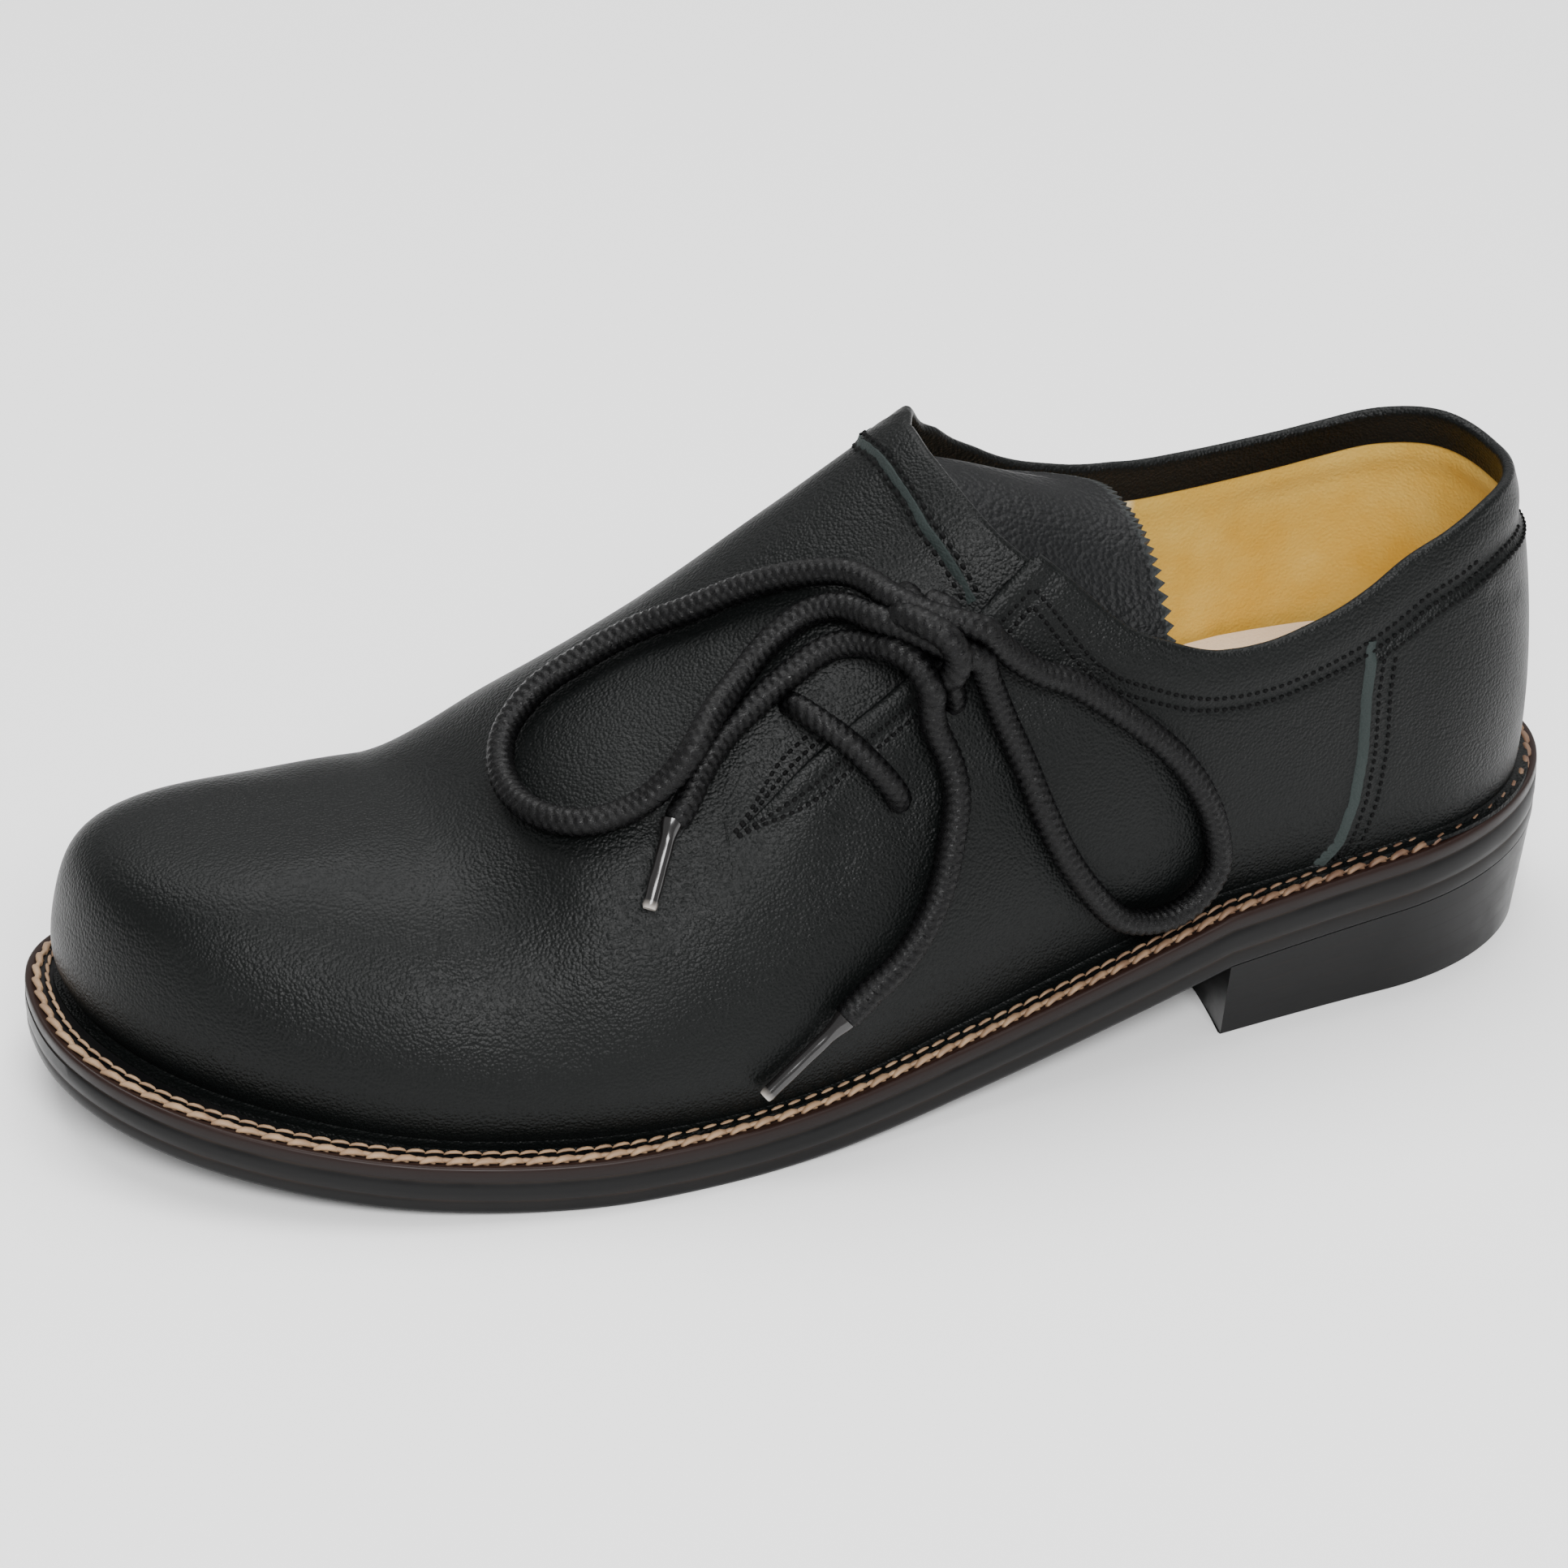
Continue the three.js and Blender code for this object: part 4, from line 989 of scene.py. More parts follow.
def roll(name, grid, normals, radius, back_in):
    """The fold along the last row of a grid. With back_in None it goes on inside as a facing."""
    point, normal, neighbour = grid[-1], normals[-1], grid[-2]
    along = np.gradient(point, axis=0)
    away = np.cross(along, normal)
    outwards = np.sign((away * (point - neighbour)).sum())
    away *= outwards / (np.linalg.norm(away, axis=1, keepdims=True) + 1e-9)
    rows = [point]
    for angle in np.linspace(0, np.pi, ROLL_STEPS + 1)[1:]:
        turned = away * math.sin(angle) - normal * (1 - math.cos(angle))
        rows.append(point + radius[:, None] * turned)
    if back_in is None:
        for row in range(2, 2 + FACING_ROWS):
            rows.append(grid[-row] - normals[-row] * FACING_DEPTH)
        rows.append(grid[-1 - FACING_ROWS] - normals[-1 - FACING_ROWS] * (FACING_DEPTH - 0.6))
    else:
        for share in (0.4, 1.0):
            rows.append(rows[ROLL_STEPS] - away * (back_in * share)[:, None])
    return lay_grid(name, np.stack(rows))


def side_of(name, column, step):
    """Points and normals of a patch's two columns at the slit, as rows with the edge as the last."""
    return (np.stack([grid[SLIT_ROW:, column + step], grid[SLIT_ROW:, column]]) for grid in patches[name])


def round_top(first, second, third):
    """The columns under the whole topline: band, inner side, then quarter."""
    return np.concatenate([first[:, :band_end], second[:, inner_start:-1], third], axis=1)


slit_fade = fade_from_end(len(HEIGHTS) - SLIT_ROW)
top_points = round_top(vamp, inner, quarter)
top_normals = round_top(vamp_normal, inner_normal, quarter_normal)
top_radius = np.full(top_points.shape[1], TOP_RADIUS)
rolled = [
    roll("roll_slit", *side_of("quarter", -1, -1), slit_fade, 3.0 * slit_fade),
    roll("roll_vamp_side", *side_of("vamp", 0, 1), 0.7 * slit_fade, 2.0 * slit_fade),
    roll("roll_top", top_points, top_normals, top_radius, None),
]
skin_parts = [lay_grid(f"skin_{name}", points) for name, (points, normals) in patches.items()]
upper = join("upper_skin", skin_parts + rolled)
merge(upper, 0.03)
agree(upper)
face_from(upper, INSIDE)
print("upper:", len(upper.data.polygons), "faces before its wall")

# %% [markdown]
# The foot of the skin is drawn out over the welt as a narrow flange, and the stitches hold it
# there. The flange follows the same outline as the last's foot, so it is made from it.

# %% Flange and wall of the upper
SKIN_THICKNESS = 0.4
FLANGE_LIFT = 1.2
FLANGE_HEIGHT = 0.95
FLANGE_BEND = 1.5
FLANGE_RIM = [
    # outwards, below the flange's top
    [2.0, 0.0],
    [2.5, 0.0],
    [2.7, 0.75],
]


def flare(foot):
    """The foot of the skin, turned outwards over the welt."""
    plane = np.gradient(foot, axis=0)[:, :2]
    plane /= np.linalg.norm(plane, axis=1, keepdims=True) + 1e-9
    out = np.stack([plane[:, 1], -plane[:, 0], np.zeros(len(plane))], 1)
    if ((foot - [0, 5, 0]) * out).sum() < 0:
        out = -out
    ground = welt_top(foot[:, 0]) + FLANGE_HEIGHT
    rows = []
    for angle in np.linspace(0, np.pi / 2, 6):
        row = foot + out * (FLANGE_BEND * (1 - math.cos(angle)))
        row[:, 2] = mix(foot[:, 2] + FLANGE_LIFT, ground, math.sin(angle))
        rows.append(row)
    for reach, drop in FLANGE_RIM:
        row = foot + out * reach
        row[:, 2] = ground - drop
        rows.append(row)
    return np.stack(rows)


feet = {name: points[0] for name, (points, normals) in patches.items()}
for index, foot in enumerate((
    np.concatenate([feet["quarter"][:-1], feet["vamp"][:-1], feet["toe_outer"]]),
    np.concatenate([feet["inner"][:0:-1], feet["toe_inner"][::-1]]),
)):
    flange = lay_grid(f"flange_{index}", flare(foot))
    agree(flange)
    face_up(flange)
    upper = join("upper_skin", [upper, flange])
apply_modifier(upper, "SOLIDIFY", thickness=SKIN_THICKNESS * MM, offset=-1)
merge(upper, 0.004)
smooth(upper, 50)


# %% Holes for the lace
FLEX_SPOTS = [
    # side, way, up, reach, strength
    [-1, 0.630, 0.440, 20, 1.0],
    [-1, 0.600, 0.640, 24, 0.6],
    [-1, 0.540, 0.760, 30, 0.4],
    [-1, 0.540, 0.330, 22, 0.5],
    [-1, 0.470, 0.420, 16, 0.3],
    [1, 0.580, 0.500, 35, 0.5],
    [-1, 0.110, 0.250, 18, 0.3],
]
EYELET_RADIUS = 2.1
punches = []
for way, up in EYELETS:
    a, b = (Vector(metres(over_last(-1, way, up, height))) for height in (-6.0, 6.0))
    clear_selection()
    bpy.ops.mesh.primitive_cylinder_add(
        vertices=32, radius=EYELET_RADIUS * MM, depth=(b - a).length, location=(a + b) / 2
    )
    punch = bpy.context.object
    punch.rotation_euler = (b - a).to_track_quat("Z", "Y").to_euler()
    punches.append(punch)
punch = join("punch", punches)
apply_modifier(upper, "BOOLEAN", operation="DIFFERENCE", object=punch, solver="FAST")
bpy.data.objects.remove(punch)
places = corners(upper) - [0, SIDE_SHIFT, 0]
flex = np.zeros(len(places))
for side, way, up, reach, strength in FLEX_SPOTS:
    spot = last_frame(side, way, up)[0]
    flex = np.maximum(flex, strength * hump(np.linalg.norm(places - spot, axis=1), 0, reach))
mark(upper, "flex", flex)
finish_piece(upper, SKIN_LEATHER, "upper_leather", "upper")

# %% [markdown]
# ## Lining, insole sock and tongue
# The lining is soft suede-like leather that shows through the foot entry. It is a second sheet on
# the last, set deeper than the skin. Its front part is a pale cloth patch.

# %% Lining
LINING_DEPTH = 2.0
LINING_STEP = 2
PATCH_EDGE = 71
lining_rows = np.arange(0, len(HEIGHTS) - 3, LINING_STEP)
lining_parts = []
for name, (points, normals) in patches.items():
    last_column = points.shape[1] - 1
    columns = np.append(np.arange(0, last_column, LINING_STEP), last_column)
    sheet = (points - normals * LINING_DEPTH)[np.ix_(lining_rows, columns)]
    lining_parts.append(lay_grid(f"lining_{name}", sheet))
lining = join("lining", lining_parts)
merge(lining, 0.05)
agree(lining)
face_from(lining, INSIDE, away=False)
places = corners(lining)
wave = 1.2 * np.sin(places[:, 2] * 0.12)
mark(lining, "front", 1 - step_between(PATCH_EDGE, PATCH_EDGE + 3, places[:, 0] + wave))
smooth(lining, 60)
finish_piece(lining, LINING, "facing_leather", "collar_facing")

# %% Insole sock
FOOTBED = [
    # along, thickness over the midsole
    [0.00, 4.6],
    [0.42, 4.6],
    [0.52, 6.0],
    [0.62, 11.0],
    [0.72, 17.5],
    [0.80, 20.8],
    [0.865, 19.2],
    [0.92, 17.2],
    [1.00, 15.0],
]
SOCK_INSET = WALL + 1.0
SOCK_THICKNESS = 3.0
stations = np.interp(np.linspace(0, 1, 70), [0, 0.3, 0.7, 1], [0, HEEL_END, TOE_START, 1])
across = np.linspace(0, 1, 15)
outer_x, outer_y = inset_outline(LAST_PLAN, -1, stations, SOCK_INSET)
inner_y = inset_outline(LAST_PLAN, 1, stations, SOCK_INSET)[1]
sock_points = np.empty((len(stations), len(across), 3))
sock_points[..., 0] = outer_x[:, None]
sock_points[..., 1] = mix(outer_y[:, None], inner_y[:, None], across[None])
rim = np.abs(2 * across - 1)[None] ** 6
footbed = read(FOOTBED, sock_points[..., 0] / SOLE_LENGTH + 0.5)[..., 0]
sock_points[..., 2] = midsole_top(sock_points[..., 0]) + footbed + 0.4 + 0.9 * rim
sock = lay_grid("insole_sock", sock_points)
merge(sock, 0.05)
face_up(sock)
apply_modifier(sock, "SOLIDIFY", thickness=SOCK_THICKNESS * MM, offset=-1)
smooth(sock, 40)
finish_piece(sock, INSOLE, "insole_leather", "insole")

# %% [markdown]
# The tongue is a loose leather sheet under the lacing. Its free edges are pinked, cut in a zigzag
# with shears, so the sheet's outermost rows step in and out.

# %% Tongue
TONGUE_EDGE = [
    # share over the instep, front way, rear way, up
    [0.00, 0.620, 0.320, 0.330],
    [0.20, 0.628, 0.318, 0.530],
    [0.40, 0.632, 0.318, 0.740],
    [0.60, 0.634, 0.320, 0.920],
    [0.70, 0.634, 0.322, 1.030],
    [0.85, 0.630, 0.340, 1.150],
    [1.00, 0.620, 0.412, 1.300],
]
PINK_COUNT, PINK_DEPTH = 33, 0.0055
TONGUE_DEPTH, TONGUE_THICKNESS = 3.1, 1.6
columns_across = PINK_COUNT * 6 + 1
share = np.linspace(0, 1, columns_across)
edge_row = read(TONGUE_EDGE, share)
pink = np.abs((share * PINK_COUNT) % 1 * 2 - 1) * PINK_DEPTH
row_share = np.concatenate([np.linspace(0, 0.9, 40), np.linspace(0.92, 1, 8)])
cut_depth = pink[None] * step_between(0.97, 1, row_share)[:, None]
tongue_way = mix(edge_row[:, 0][None], edge_row[:, 1][None] + cut_depth, row_share[:, None])
tongue_up = np.broadcast_to(edge_row[:, 2], tongue_way.shape)
ripple = 0.25 * np.sin(tongue_way * 70) * np.sin(tongue_up * 9)
curl = 0.9 * step_between(0.9, 1.0, row_share)[:, None]
tongue_points = over_last(-1, tongue_way, tongue_up, ripple + curl - TONGUE_DEPTH, TONGUE_RIDGE)
worn_edge = np.zeros((len(row_share), 1))
worn_edge[-2:, 0] = 0.5, 1.0
tongue = lay_grid("tongue_sheet", tongue_points, marks={"worn": worn_edge})
face_up(tongue)
apply_modifier(tongue, "SOLIDIFY", thickness=TONGUE_THICKNESS * MM, offset=-1)
smooth(tongue, 50)
finish_piece(tongue, TONGUE_LEATHER, "tongue_leather", "tongue")

# %% [markdown]
# ## Raw edges and seams
# Where a piece of leather ends on top of another, its cut edge shows as a thin, paler line. It is
# made as a narrow ribbon along the step. Every stitch is a short bead that dives at both ends.

# %% Paths over the skin
def line_length(points):
    """Length along a line up to each of its points."""
    return np.concatenate([[0], np.cumsum(np.linalg.norm(np.diff(points, axis=0), axis=1))])


def even_path(side, ways, ups, spacing):
    """Ways and ups at even spacing along a line drawn over the last."""
    ways, ups = np.asarray(ways, float), np.asarray(ups, float)
    fine = np.linspace(0, 1, 600)
    knots = np.linspace(0, 1, len(ways))
    fine_way, fine_up = np.interp(fine, knots, ways), np.interp(fine, knots, ups)
    point = last_frame(side, fine_way, fine_up)[0]
    length = line_length(point)
    count = max(2, int(round(length[-1] / spacing)) + 1)
    target = np.linspace(0, length[-1], count)
    return np.interp(target, length, fine_way), np.interp(target, length, fine_up)


def beside(side, ways, ups, distance):
    """The same line moved sideways over the last by a distance in millimetres."""
    ways, ups = np.asarray(ways, float).copy(), np.asarray(ups, float).copy()
    distance = np.broadcast_to(distance, ways.shape)[:, None]
    steps = int(np.abs(distance).max() / 1.5) + 1
    for _ in range(steps):
        point, normal = last_frame(side, ways, ups)
        along = np.gradient(point, axis=0)
        along /= np.linalg.norm(along, axis=1, keepdims=True) + 1e-9
        across = np.cross(normal, along) * (distance / steps)
        by_way = (last_frame(side, ways + 0.002, ups)[0] - point) / 0.002
        by_up = (last_frame(side, ways, ups + 0.002)[0] - point) / 0.002
        aa, ab, bb = (by_way * by_way).sum(1), (by_way * by_up).sum(1), (by_up * by_up).sum(1)
        ra, rb = (across * by_way).sum(1), (across * by_up).sum(1)
        det = aa * bb - ab * ab
        ways += (ra * bb - rb * ab) / det
        ups += (rb * aa - ra * ab) / det
    return ways, ups


STITCH = [
    # along, thickness, lift
    [0.00, 0.25, -1.0],
    [0.12, 0.80, 0.0],
    [0.35, 1.00, 0.6],
    [0.65, 1.00, 0.6],
    [0.88, 0.80, 0.0],
    [1.00, 0.25, -1.0],
]


def bead_row(name, point, normal, pitch, width, height, share=0.8, slant=0.0, sides=6):
    """A row of stitches along points spaced finely: one tube that thins and dives between stitches."""
    along = np.gradient(point, axis=0)
    step = np.linalg.norm(along, axis=1)
    along /= step[:, None] + 1e-9
    across = np.cross(normal, along)
    length = line_length(point)
    count = max(1, int(length[-1] / pitch))
    pitch = length[-1] / count
    at, thick, lift = np.tile(np.array(STITCH), (count, 1)).T[..., None]
    start = np.repeat(np.arange(count), len(STITCH))[:, None]
    stations = ((start + 0.5 + (at - 0.5) * share) * pitch)[:, 0]

    def at_stations(values):
        return np.stack([np.interp(stations, length, values[:, axis]) for axis in range(3)], 1)

    centre, up_way, side_way = at_stations(point), at_stations(normal), at_stations(across)
    centre = centre + up_way * lift * height / 2 + side_way * (at - 0.5) * slant
    rows = []
    for angle in np.linspace(0, 2 * np.pi, sides + 1):
        spoke = side_way * math.cos(angle) * width / 2 + up_way * math.sin(angle) * height / 2
        rows.append(centre + thick * spoke)
    return lay_grid(name, np.stack(rows), wrap=True)


def seam(name, side, ways, ups, patch, pitch=1.7, width=0.75, height=0.5, share=0.72):
    way, up = even_path(side, ways, ups, 0.6)
    point, normal = skin_at(side, way, up, patch)
    return bead_row(name, point, normal, pitch, width, height, share)


def ribbon(name, side, ways, ups, patch, width, lift=0.12):
    """A narrow strip along a step of the skin, sloping down its front."""
    way, up = even_path(side, ways, ups, 0.8)
    rows = []
    half = width / 2
    profile = ((-half - 0.25, -0.25), (-half, lift / 2), (0.0, lift), (half, lift), (half + 0.25, -0.2))
    for offset, rise in profile:
        moved_way, moved_up = beside(side, way, up, offset)
        rough = 0.048 * np.sin(np.arange(len(way)) * 1.7) if offset else 0
        rows.append(skin_at(side, moved_way, moved_up, patch, rise + rough)[0])
    return lay_grid(name, np.stack(rows))


# %% Raw edges
band_ups = np.linspace(0.572, 1.0, 40)
inner_ups = np.linspace(1.0, 1.25, 20)
counter_ups = np.linspace(0.004, 0.252, 40)
raw_edges = [
    ribbon("raw_band", -1, line_way(BAND_LINE, band_ups), band_ups, "vamp", 1.1),
    ribbon("raw_band_inner", 1, line_way(BAND_LINE, inner_ups), 2 - inner_ups, "inner", 1.1),
    ribbon("raw_counter", -1, line_way(COUNTER_LINE, counter_ups), counter_ups, "quarter", 1.5),
    ribbon("raw_counter_inner", 1, line_way(COUNTER_LINE, counter_ups), counter_ups, "inner", 1.5),
]
raw_edge = join("raw_edges", raw_edges)
apply_modifier(raw_edge, "SOLIDIFY", thickness=0.3 * MM, offset=0)
smooth(raw_edge, 60)
finish_piece(raw_edge, CUT_EDGE, "upper_leather", "vamp_band", "heel_counter")

# %% Seams of the upper
slit_share = np.linspace(0.0, 1.0, 90)
slit_way, slit_up = read(SLIT, slit_share).T
top_way = np.linspace(0.0, QUARTER_END, 200)
top_up = read(OUTER_TOPLINE, top_way)[:, 0]
inner_top_way = np.linspace(0.0, 0.44, 200)
inner_top_up = read(INNER_TOPLINE, inner_top_way)[:, 0]
band_up = np.linspace(0.580, 1.0, 50)
band_way = line_way(BAND_LINE, band_up)
band_in_up = np.linspace(1.0, 1.24, 25)
counter_up = np.linspace(0.01, 0.235, 50)
counter_way = line_way(COUNTER_LINE, counter_up)


def down(side, ways, ups, distance):
    """Moves a line away from the topline, whichever way it was drawn."""
    trial = beside(side, ways, ups, distance)
    return trial if trial[1].mean() < np.mean(ups) else beside(side, ways, ups, -distance)


def towards(side, ways, ups, distance, sign):
    """Moves a line so that its ways grow, sign 1, or shrink, sign -1."""
    trial = beside(side, ways, ups, distance)
    right_way = (trial[0].mean() - np.mean(ways)) * sign > 0
    return trial if right_way else beside(side, ways, ups, -distance)


def turn_corner(side, first, second):
    """One line that follows the first and leaves it for the second where both cross."""
    gap = np.linalg.norm(last_frame(side, *first)[0][:, None] - last_frame(side, *second)[0][None], axis=2)
    leave, enter = np.unravel_index(np.argmin(gap), gap.shape)
    return tuple(np.concatenate([a[:leave], b[enter::-1]]) for a, b in zip(first, second))


# pitch, width, height and share of the seams along the band, which are coarser than the others
BAND_STITCH = (2.2, 0.85, 0.55, 0.66)
taper = mix(0.1, 1.0, step_between(-0.02, 0.24, slit_share))
seams = []
for distance in (2.4, 4.6):
    way, up = down(-1, slit_way, slit_up, distance * taper)
    way, up = 2 * slit_way - way, 2 * slit_up - up
    seams.append(seam("seam_vamp_side", -1, way[:32], up[:32], "vamp"))
for slit_distance, top_distance, stop in ((3.0, 8.0, 70), (5.3, 10.4, 30)):
    bend = 3.4 * step_between(0.35, QUARTER_END, top_way)
    along_slit = down(-1, slit_way, slit_up, slit_distance * taper)
    way, up = turn_corner(-1, along_slit, down(-1, top_way, top_up, top_distance - bend))
    seams.append(seam("seam_slit", -1, way[:-stop], up[:-stop], "quarter"))
    way, up = down(1, inner_top_way, inner_top_up, top_distance)
    seams.append(seam("seam_top_inner", 1, way[:185], up[:185], "inner"))
way, up = down(-1, top_way, top_up, 12.2)
seams.append(seam("seam_heel", -1, way[:110], up[:110], "quarter"))
for sign, distance in ((-1, 1.7), (1, 1.3)):
    way, up = towards(-1, band_way, band_up, distance, sign)
    seams.append(seam("seam_band", -1, way, up, "vamp", *BAND_STITCH))
    way, up = towards(1, line_way(BAND_LINE, band_in_up), 2 - band_in_up, distance, sign)
    seams.append(seam("seam_band_inner", 1, way, up, "inner", *BAND_STITCH))
for distance in (2.6, 5.2):
    way, up = towards(-1, counter_way, counter_up, distance, -1)
    seams.append(seam("seam_counter", -1, way, up, "quarter"))
    way, up = towards(1, counter_way, counter_up, distance, -1)
    seams.append(seam("seam_counter_inner", 1, way, up, "inner"))
seam_thread = join("seam_thread", seams)
smooth(seam_thread, 80)
finish_piece(seam_thread, SEAM_THREAD, "upper_leather")

# %% [markdown]
# ## Sole, welt and heel
# Outsole, midsole and welt are trimmed together, inked black and burnished, so they show as one
# smooth edge with fine lines between the layers. The edge is one profile carried round the shoe.

# %% Sole edge
side_ways = np.concatenate([
    HEEL_END * np.linspace(0, 1, 46)[:-1],
    np.linspace(HEEL_END, TOE_START, 96)[:-1],
    mix(TOE_START, 1, np.linspace(0, 1, 56)),
])
LOOP_SIDE = np.concatenate([np.full(len(side_ways), -1.0), np.full(len(side_ways) - 1, 1.0)])
LOOP_WAY = np.concatenate([side_ways, side_ways[::-1][1:]])
LAYER_SHARE = 0.42
SOLE_PROFILE = [
    # inset, level (0 underside, 1 layer line, 2 midsole top, 3 welt top), rise, line, margin
    [6.00, 0, 0.00, 0.0, 0.0],
    [0.90, 0, 0.00, 0.0, 0.0],
    [0.25, 0, 0.25, 0.0, 0.0],
    [0.00, 0, 0.90, 0.0, 0.0],
    [0.00, 1, -0.30, 0.2, 0.0],
    [0.16, 1, -0.05, 1.0, 0.0],
    [0.16, 1, 0.10, 1.0, 0.0],
    [0.00, 1, 0.35, 0.2, 0.0],
    [-0.10, 1, 1.60, 0.0, 0.0],
    [0.00, 2, -0.30, 0.0, 0.0],
    [0.25, 2, -0.05, 1.0, 0.0],
    [0.25, 2, 0.12, 1.0, 0.0],
    [0.10, 2, 0.40, 0.0, 0.3],
    [0.10, 3, -1.10, 0.0, 0.5],
    [0.20, 3, -0.40, 0.0, 0.8],
    [0.50, 3, -0.08, 0.3, 1.0],
    [0.90, 3, 0.00, 0.0, 1.0],
    [1.40, 3, -0.05, 0.0, 1.0],
    [2.20, 3, -0.30, 0.0, 0.6],
    [3.00, 3, -0.05, 0.0, 0.2],
    [4.30, 3, 0.00, 0.0, 0.0],
]


def level_height(level, x):
    low = underside(x)
    if level == 1:
        return low + (midsole_top(x) - low) * LAYER_SHARE
    return (low, None, midsole_top(x), welt_top(x))[int(level)]


profile_rows = []
for inset, level, rise, _, _ in SOLE_PROFILE:
    x, y = inset_outline(SOLE_PLAN, LOOP_SIDE, LOOP_WAY, inset)
    profile_rows.append(np.stack([x, y, level_height(level, x) + rise], -1))
x, y = inset_outline(LAST_PLAN, LOOP_SIDE, LOOP_WAY, 1.5)
profile_rows.append(np.stack([x, y, welt_top(x) + 0.02], -1))
sole_marks = np.array([row[3:] for row in SOLE_PROFILE] + [[0.0, 0.0]])
sole = lay_grid("sole_ring", np.stack(profile_rows), wrap=True, marks={
    "line": sole_marks[:, :1], "margin": sole_marks[:, 1:],
})


tread_t = np.linspace(0, 1, 14)[None, :, None]
tread_outer = np.stack(inset_outline(SOLE_PLAN, -1, side_ways, SOLE_PROFILE[0][0]), -1)
tread_inner = np.stack(inset_outline(SOLE_PLAN, 1, side_ways, SOLE_PROFILE[0][0]), -1)
tread_plan = mix(tread_outer[:, None], tread_inner[:, None], tread_t)
tread = lay_grid("tread", np.concatenate([tread_plan, underside(tread_plan[..., :1])], -1), wrap=True)
sole_skin = join("sole_layers", [sole, tread])
merge(sole_skin, 0.05)
agree(sole_skin)
side_total = sum(p.normal.x * p.center.x * p.area for p in sole_skin.data.polygons if abs(p.normal.z) < 0.3)
if side_total < 0:
    flip(sole_skin)
smooth(sole_skin, 50)
finish_piece(sole_skin, SOLE_EDGE, "sole_edge", "outsole", "midsole", "welt")

# %% Stacked heel
HEEL_LAYERS = [0.0, 0.27, 0.45, 0.63, 0.81, 1.0]
# half the height of a layer line, as a share of the heel's height
HEEL_LINE = 0.010
# how far the heel's foot stands inside the outsole, and how much further its lowest rim does
HEEL_INSET, HEEL_TUCK = 2.2, 0.9
BREAST_HOLLOW = 3
HEEL_MIDDLE = (110, 0, 12)
breast_way = float(np.interp(-(BREAST - 0.5) * SOLE_LENGTH, -outline(SOLE_PLAN, -1, side_ways)[0], side_ways))
wall_ways = np.concatenate([np.linspace(breast_way, HEEL_END, 20)[:-1], HEEL_END * np.linspace(1, 0, 46)])
breast_share = np.linspace(1, 0, 25)[1:]


def breast_hollow(share):
    """How far the heel's front face goes back, from one side of the shoe to the other."""
    return BREAST_HOLLOW * 4 * share * (1 - share)


def heel_loop(inset, level):
    sides = []
    for side, ways in ((-1, wall_ways), (1, wall_ways[::-1][1:])):
        sides.append(np.stack(inset_outline(SOLE_PLAN, side, ways, inset), -1))
    loop = np.concatenate(sides)
    start, end = loop[0], loop[-1]
    face = mix(start[None], end[None], breast_share[:, None])
    face[:, 0] += breast_hollow(breast_share)
    loop = np.concatenate([loop, face])
    top = underside(loop[:, 0]) + 0.3
    return np.column_stack([loop, top * level])


heel_rows, heel_marks = [], []
for level in HEEL_LAYERS:
    flush = mix(HEEL_INSET, 0.15, level)
    for step in (-HEEL_LINE, 0.0, HEEL_LINE):
        if not 0 <= level + step <= 1:
            continue
        tucked = HEEL_TUCK if level + step == 0 else 0
        heel_rows.append(heel_loop(flush + tucked, level + step))
        heel_marks.append([float(step == 0 and 0 < level < 1)])
heel_wall = lay_grid("heel_wall", np.stack(heel_rows), wrap=True, marks={"line": np.array(heel_marks)})
cap_t = np.linspace(0, 1, 25)
cap_outer = np.stack(inset_outline(SOLE_PLAN, -1, wall_ways, HEEL_INSET + HEEL_TUCK), -1)
cap_inner = np.stack(inset_outline(SOLE_PLAN, 1, wall_ways, HEEL_INSET + HEEL_TUCK), -1)
cap_sheet = mix(cap_outer[:, None], cap_inner[:, None], cap_t[None, :, None])
cap_sheet[0, :, 0] += breast_hollow(cap_t)
cap_ground = np.zeros((*cap_sheet.shape[:2], 1))
heel_cap = lay_grid("heel_cap", np.concatenate([cap_sheet, cap_ground], -1), wrap=True)
heel_piece = join("heel_layers", [heel_wall, heel_cap])
merge(heel_piece, 0.05)
agree(heel_piece)
face_from(heel_piece, HEEL_MIDDLE)
smooth(heel_piece, 42)
finish_piece(heel_piece, HEEL_STACK, "heel_stack", "heel")

# %% [markdown]
# Two rows of thick waxed thread hold the welt. In the outer row each stitch is a fat slanting bead
# with a thinner one crossing under it, so that the row looks like a laid rope.

# %% Welt stitches
def welt_row(name, inset, rise, width, height, slant, pitch=4.8):
    x, y = inset_outline(SOLE_PLAN, LOOP_SIDE, LOOP_WAY, inset)
    point = np.stack([x, y, welt_top(x) + rise], -1)
    length = line_length(point)
    even = np.linspace(0, length[-1], int(length[-1] / 0.7))
    point = np.stack([np.interp(even, length, point[:, axis]) for axis in range(3)], -1)
    normal = np.zeros_like(point)
    normal[:, 2] = 1
    return bead_row(name, point, normal, pitch, width, height, 1.04, slant, sides=8)


welt_rows = [
    welt_row("welt_row_outer", 2.3, 0.10, 1.5, 1.15, 1.0),
    welt_row("welt_row_outer_under", 2.5, -0.05, 1.1, 0.9, -0.9),
    welt_row("welt_row_inner", 4.3, 0.75, 0.75, 0.6, 0.4, 3.4),
]
welt_thread = join("welt_thread", welt_rows)
# The thread grows darker towards the heel: painted shade. The waves along the row are an uneven tone of the
# thread.
along_x = corners(welt_thread)[:, 0]
uneven = 0.14 * np.sin(along_x * 0.83 + 1) + 0.12 * np.sin(along_x * 2.1)
mark(welt_thread, "dark", np.clip(0.22 + uneven + 0.62 * step_between(-30, 110, along_x), 0, 1))
smooth(welt_thread, 80)
finish_piece(welt_thread, WELT_THREAD, "welt_leather")

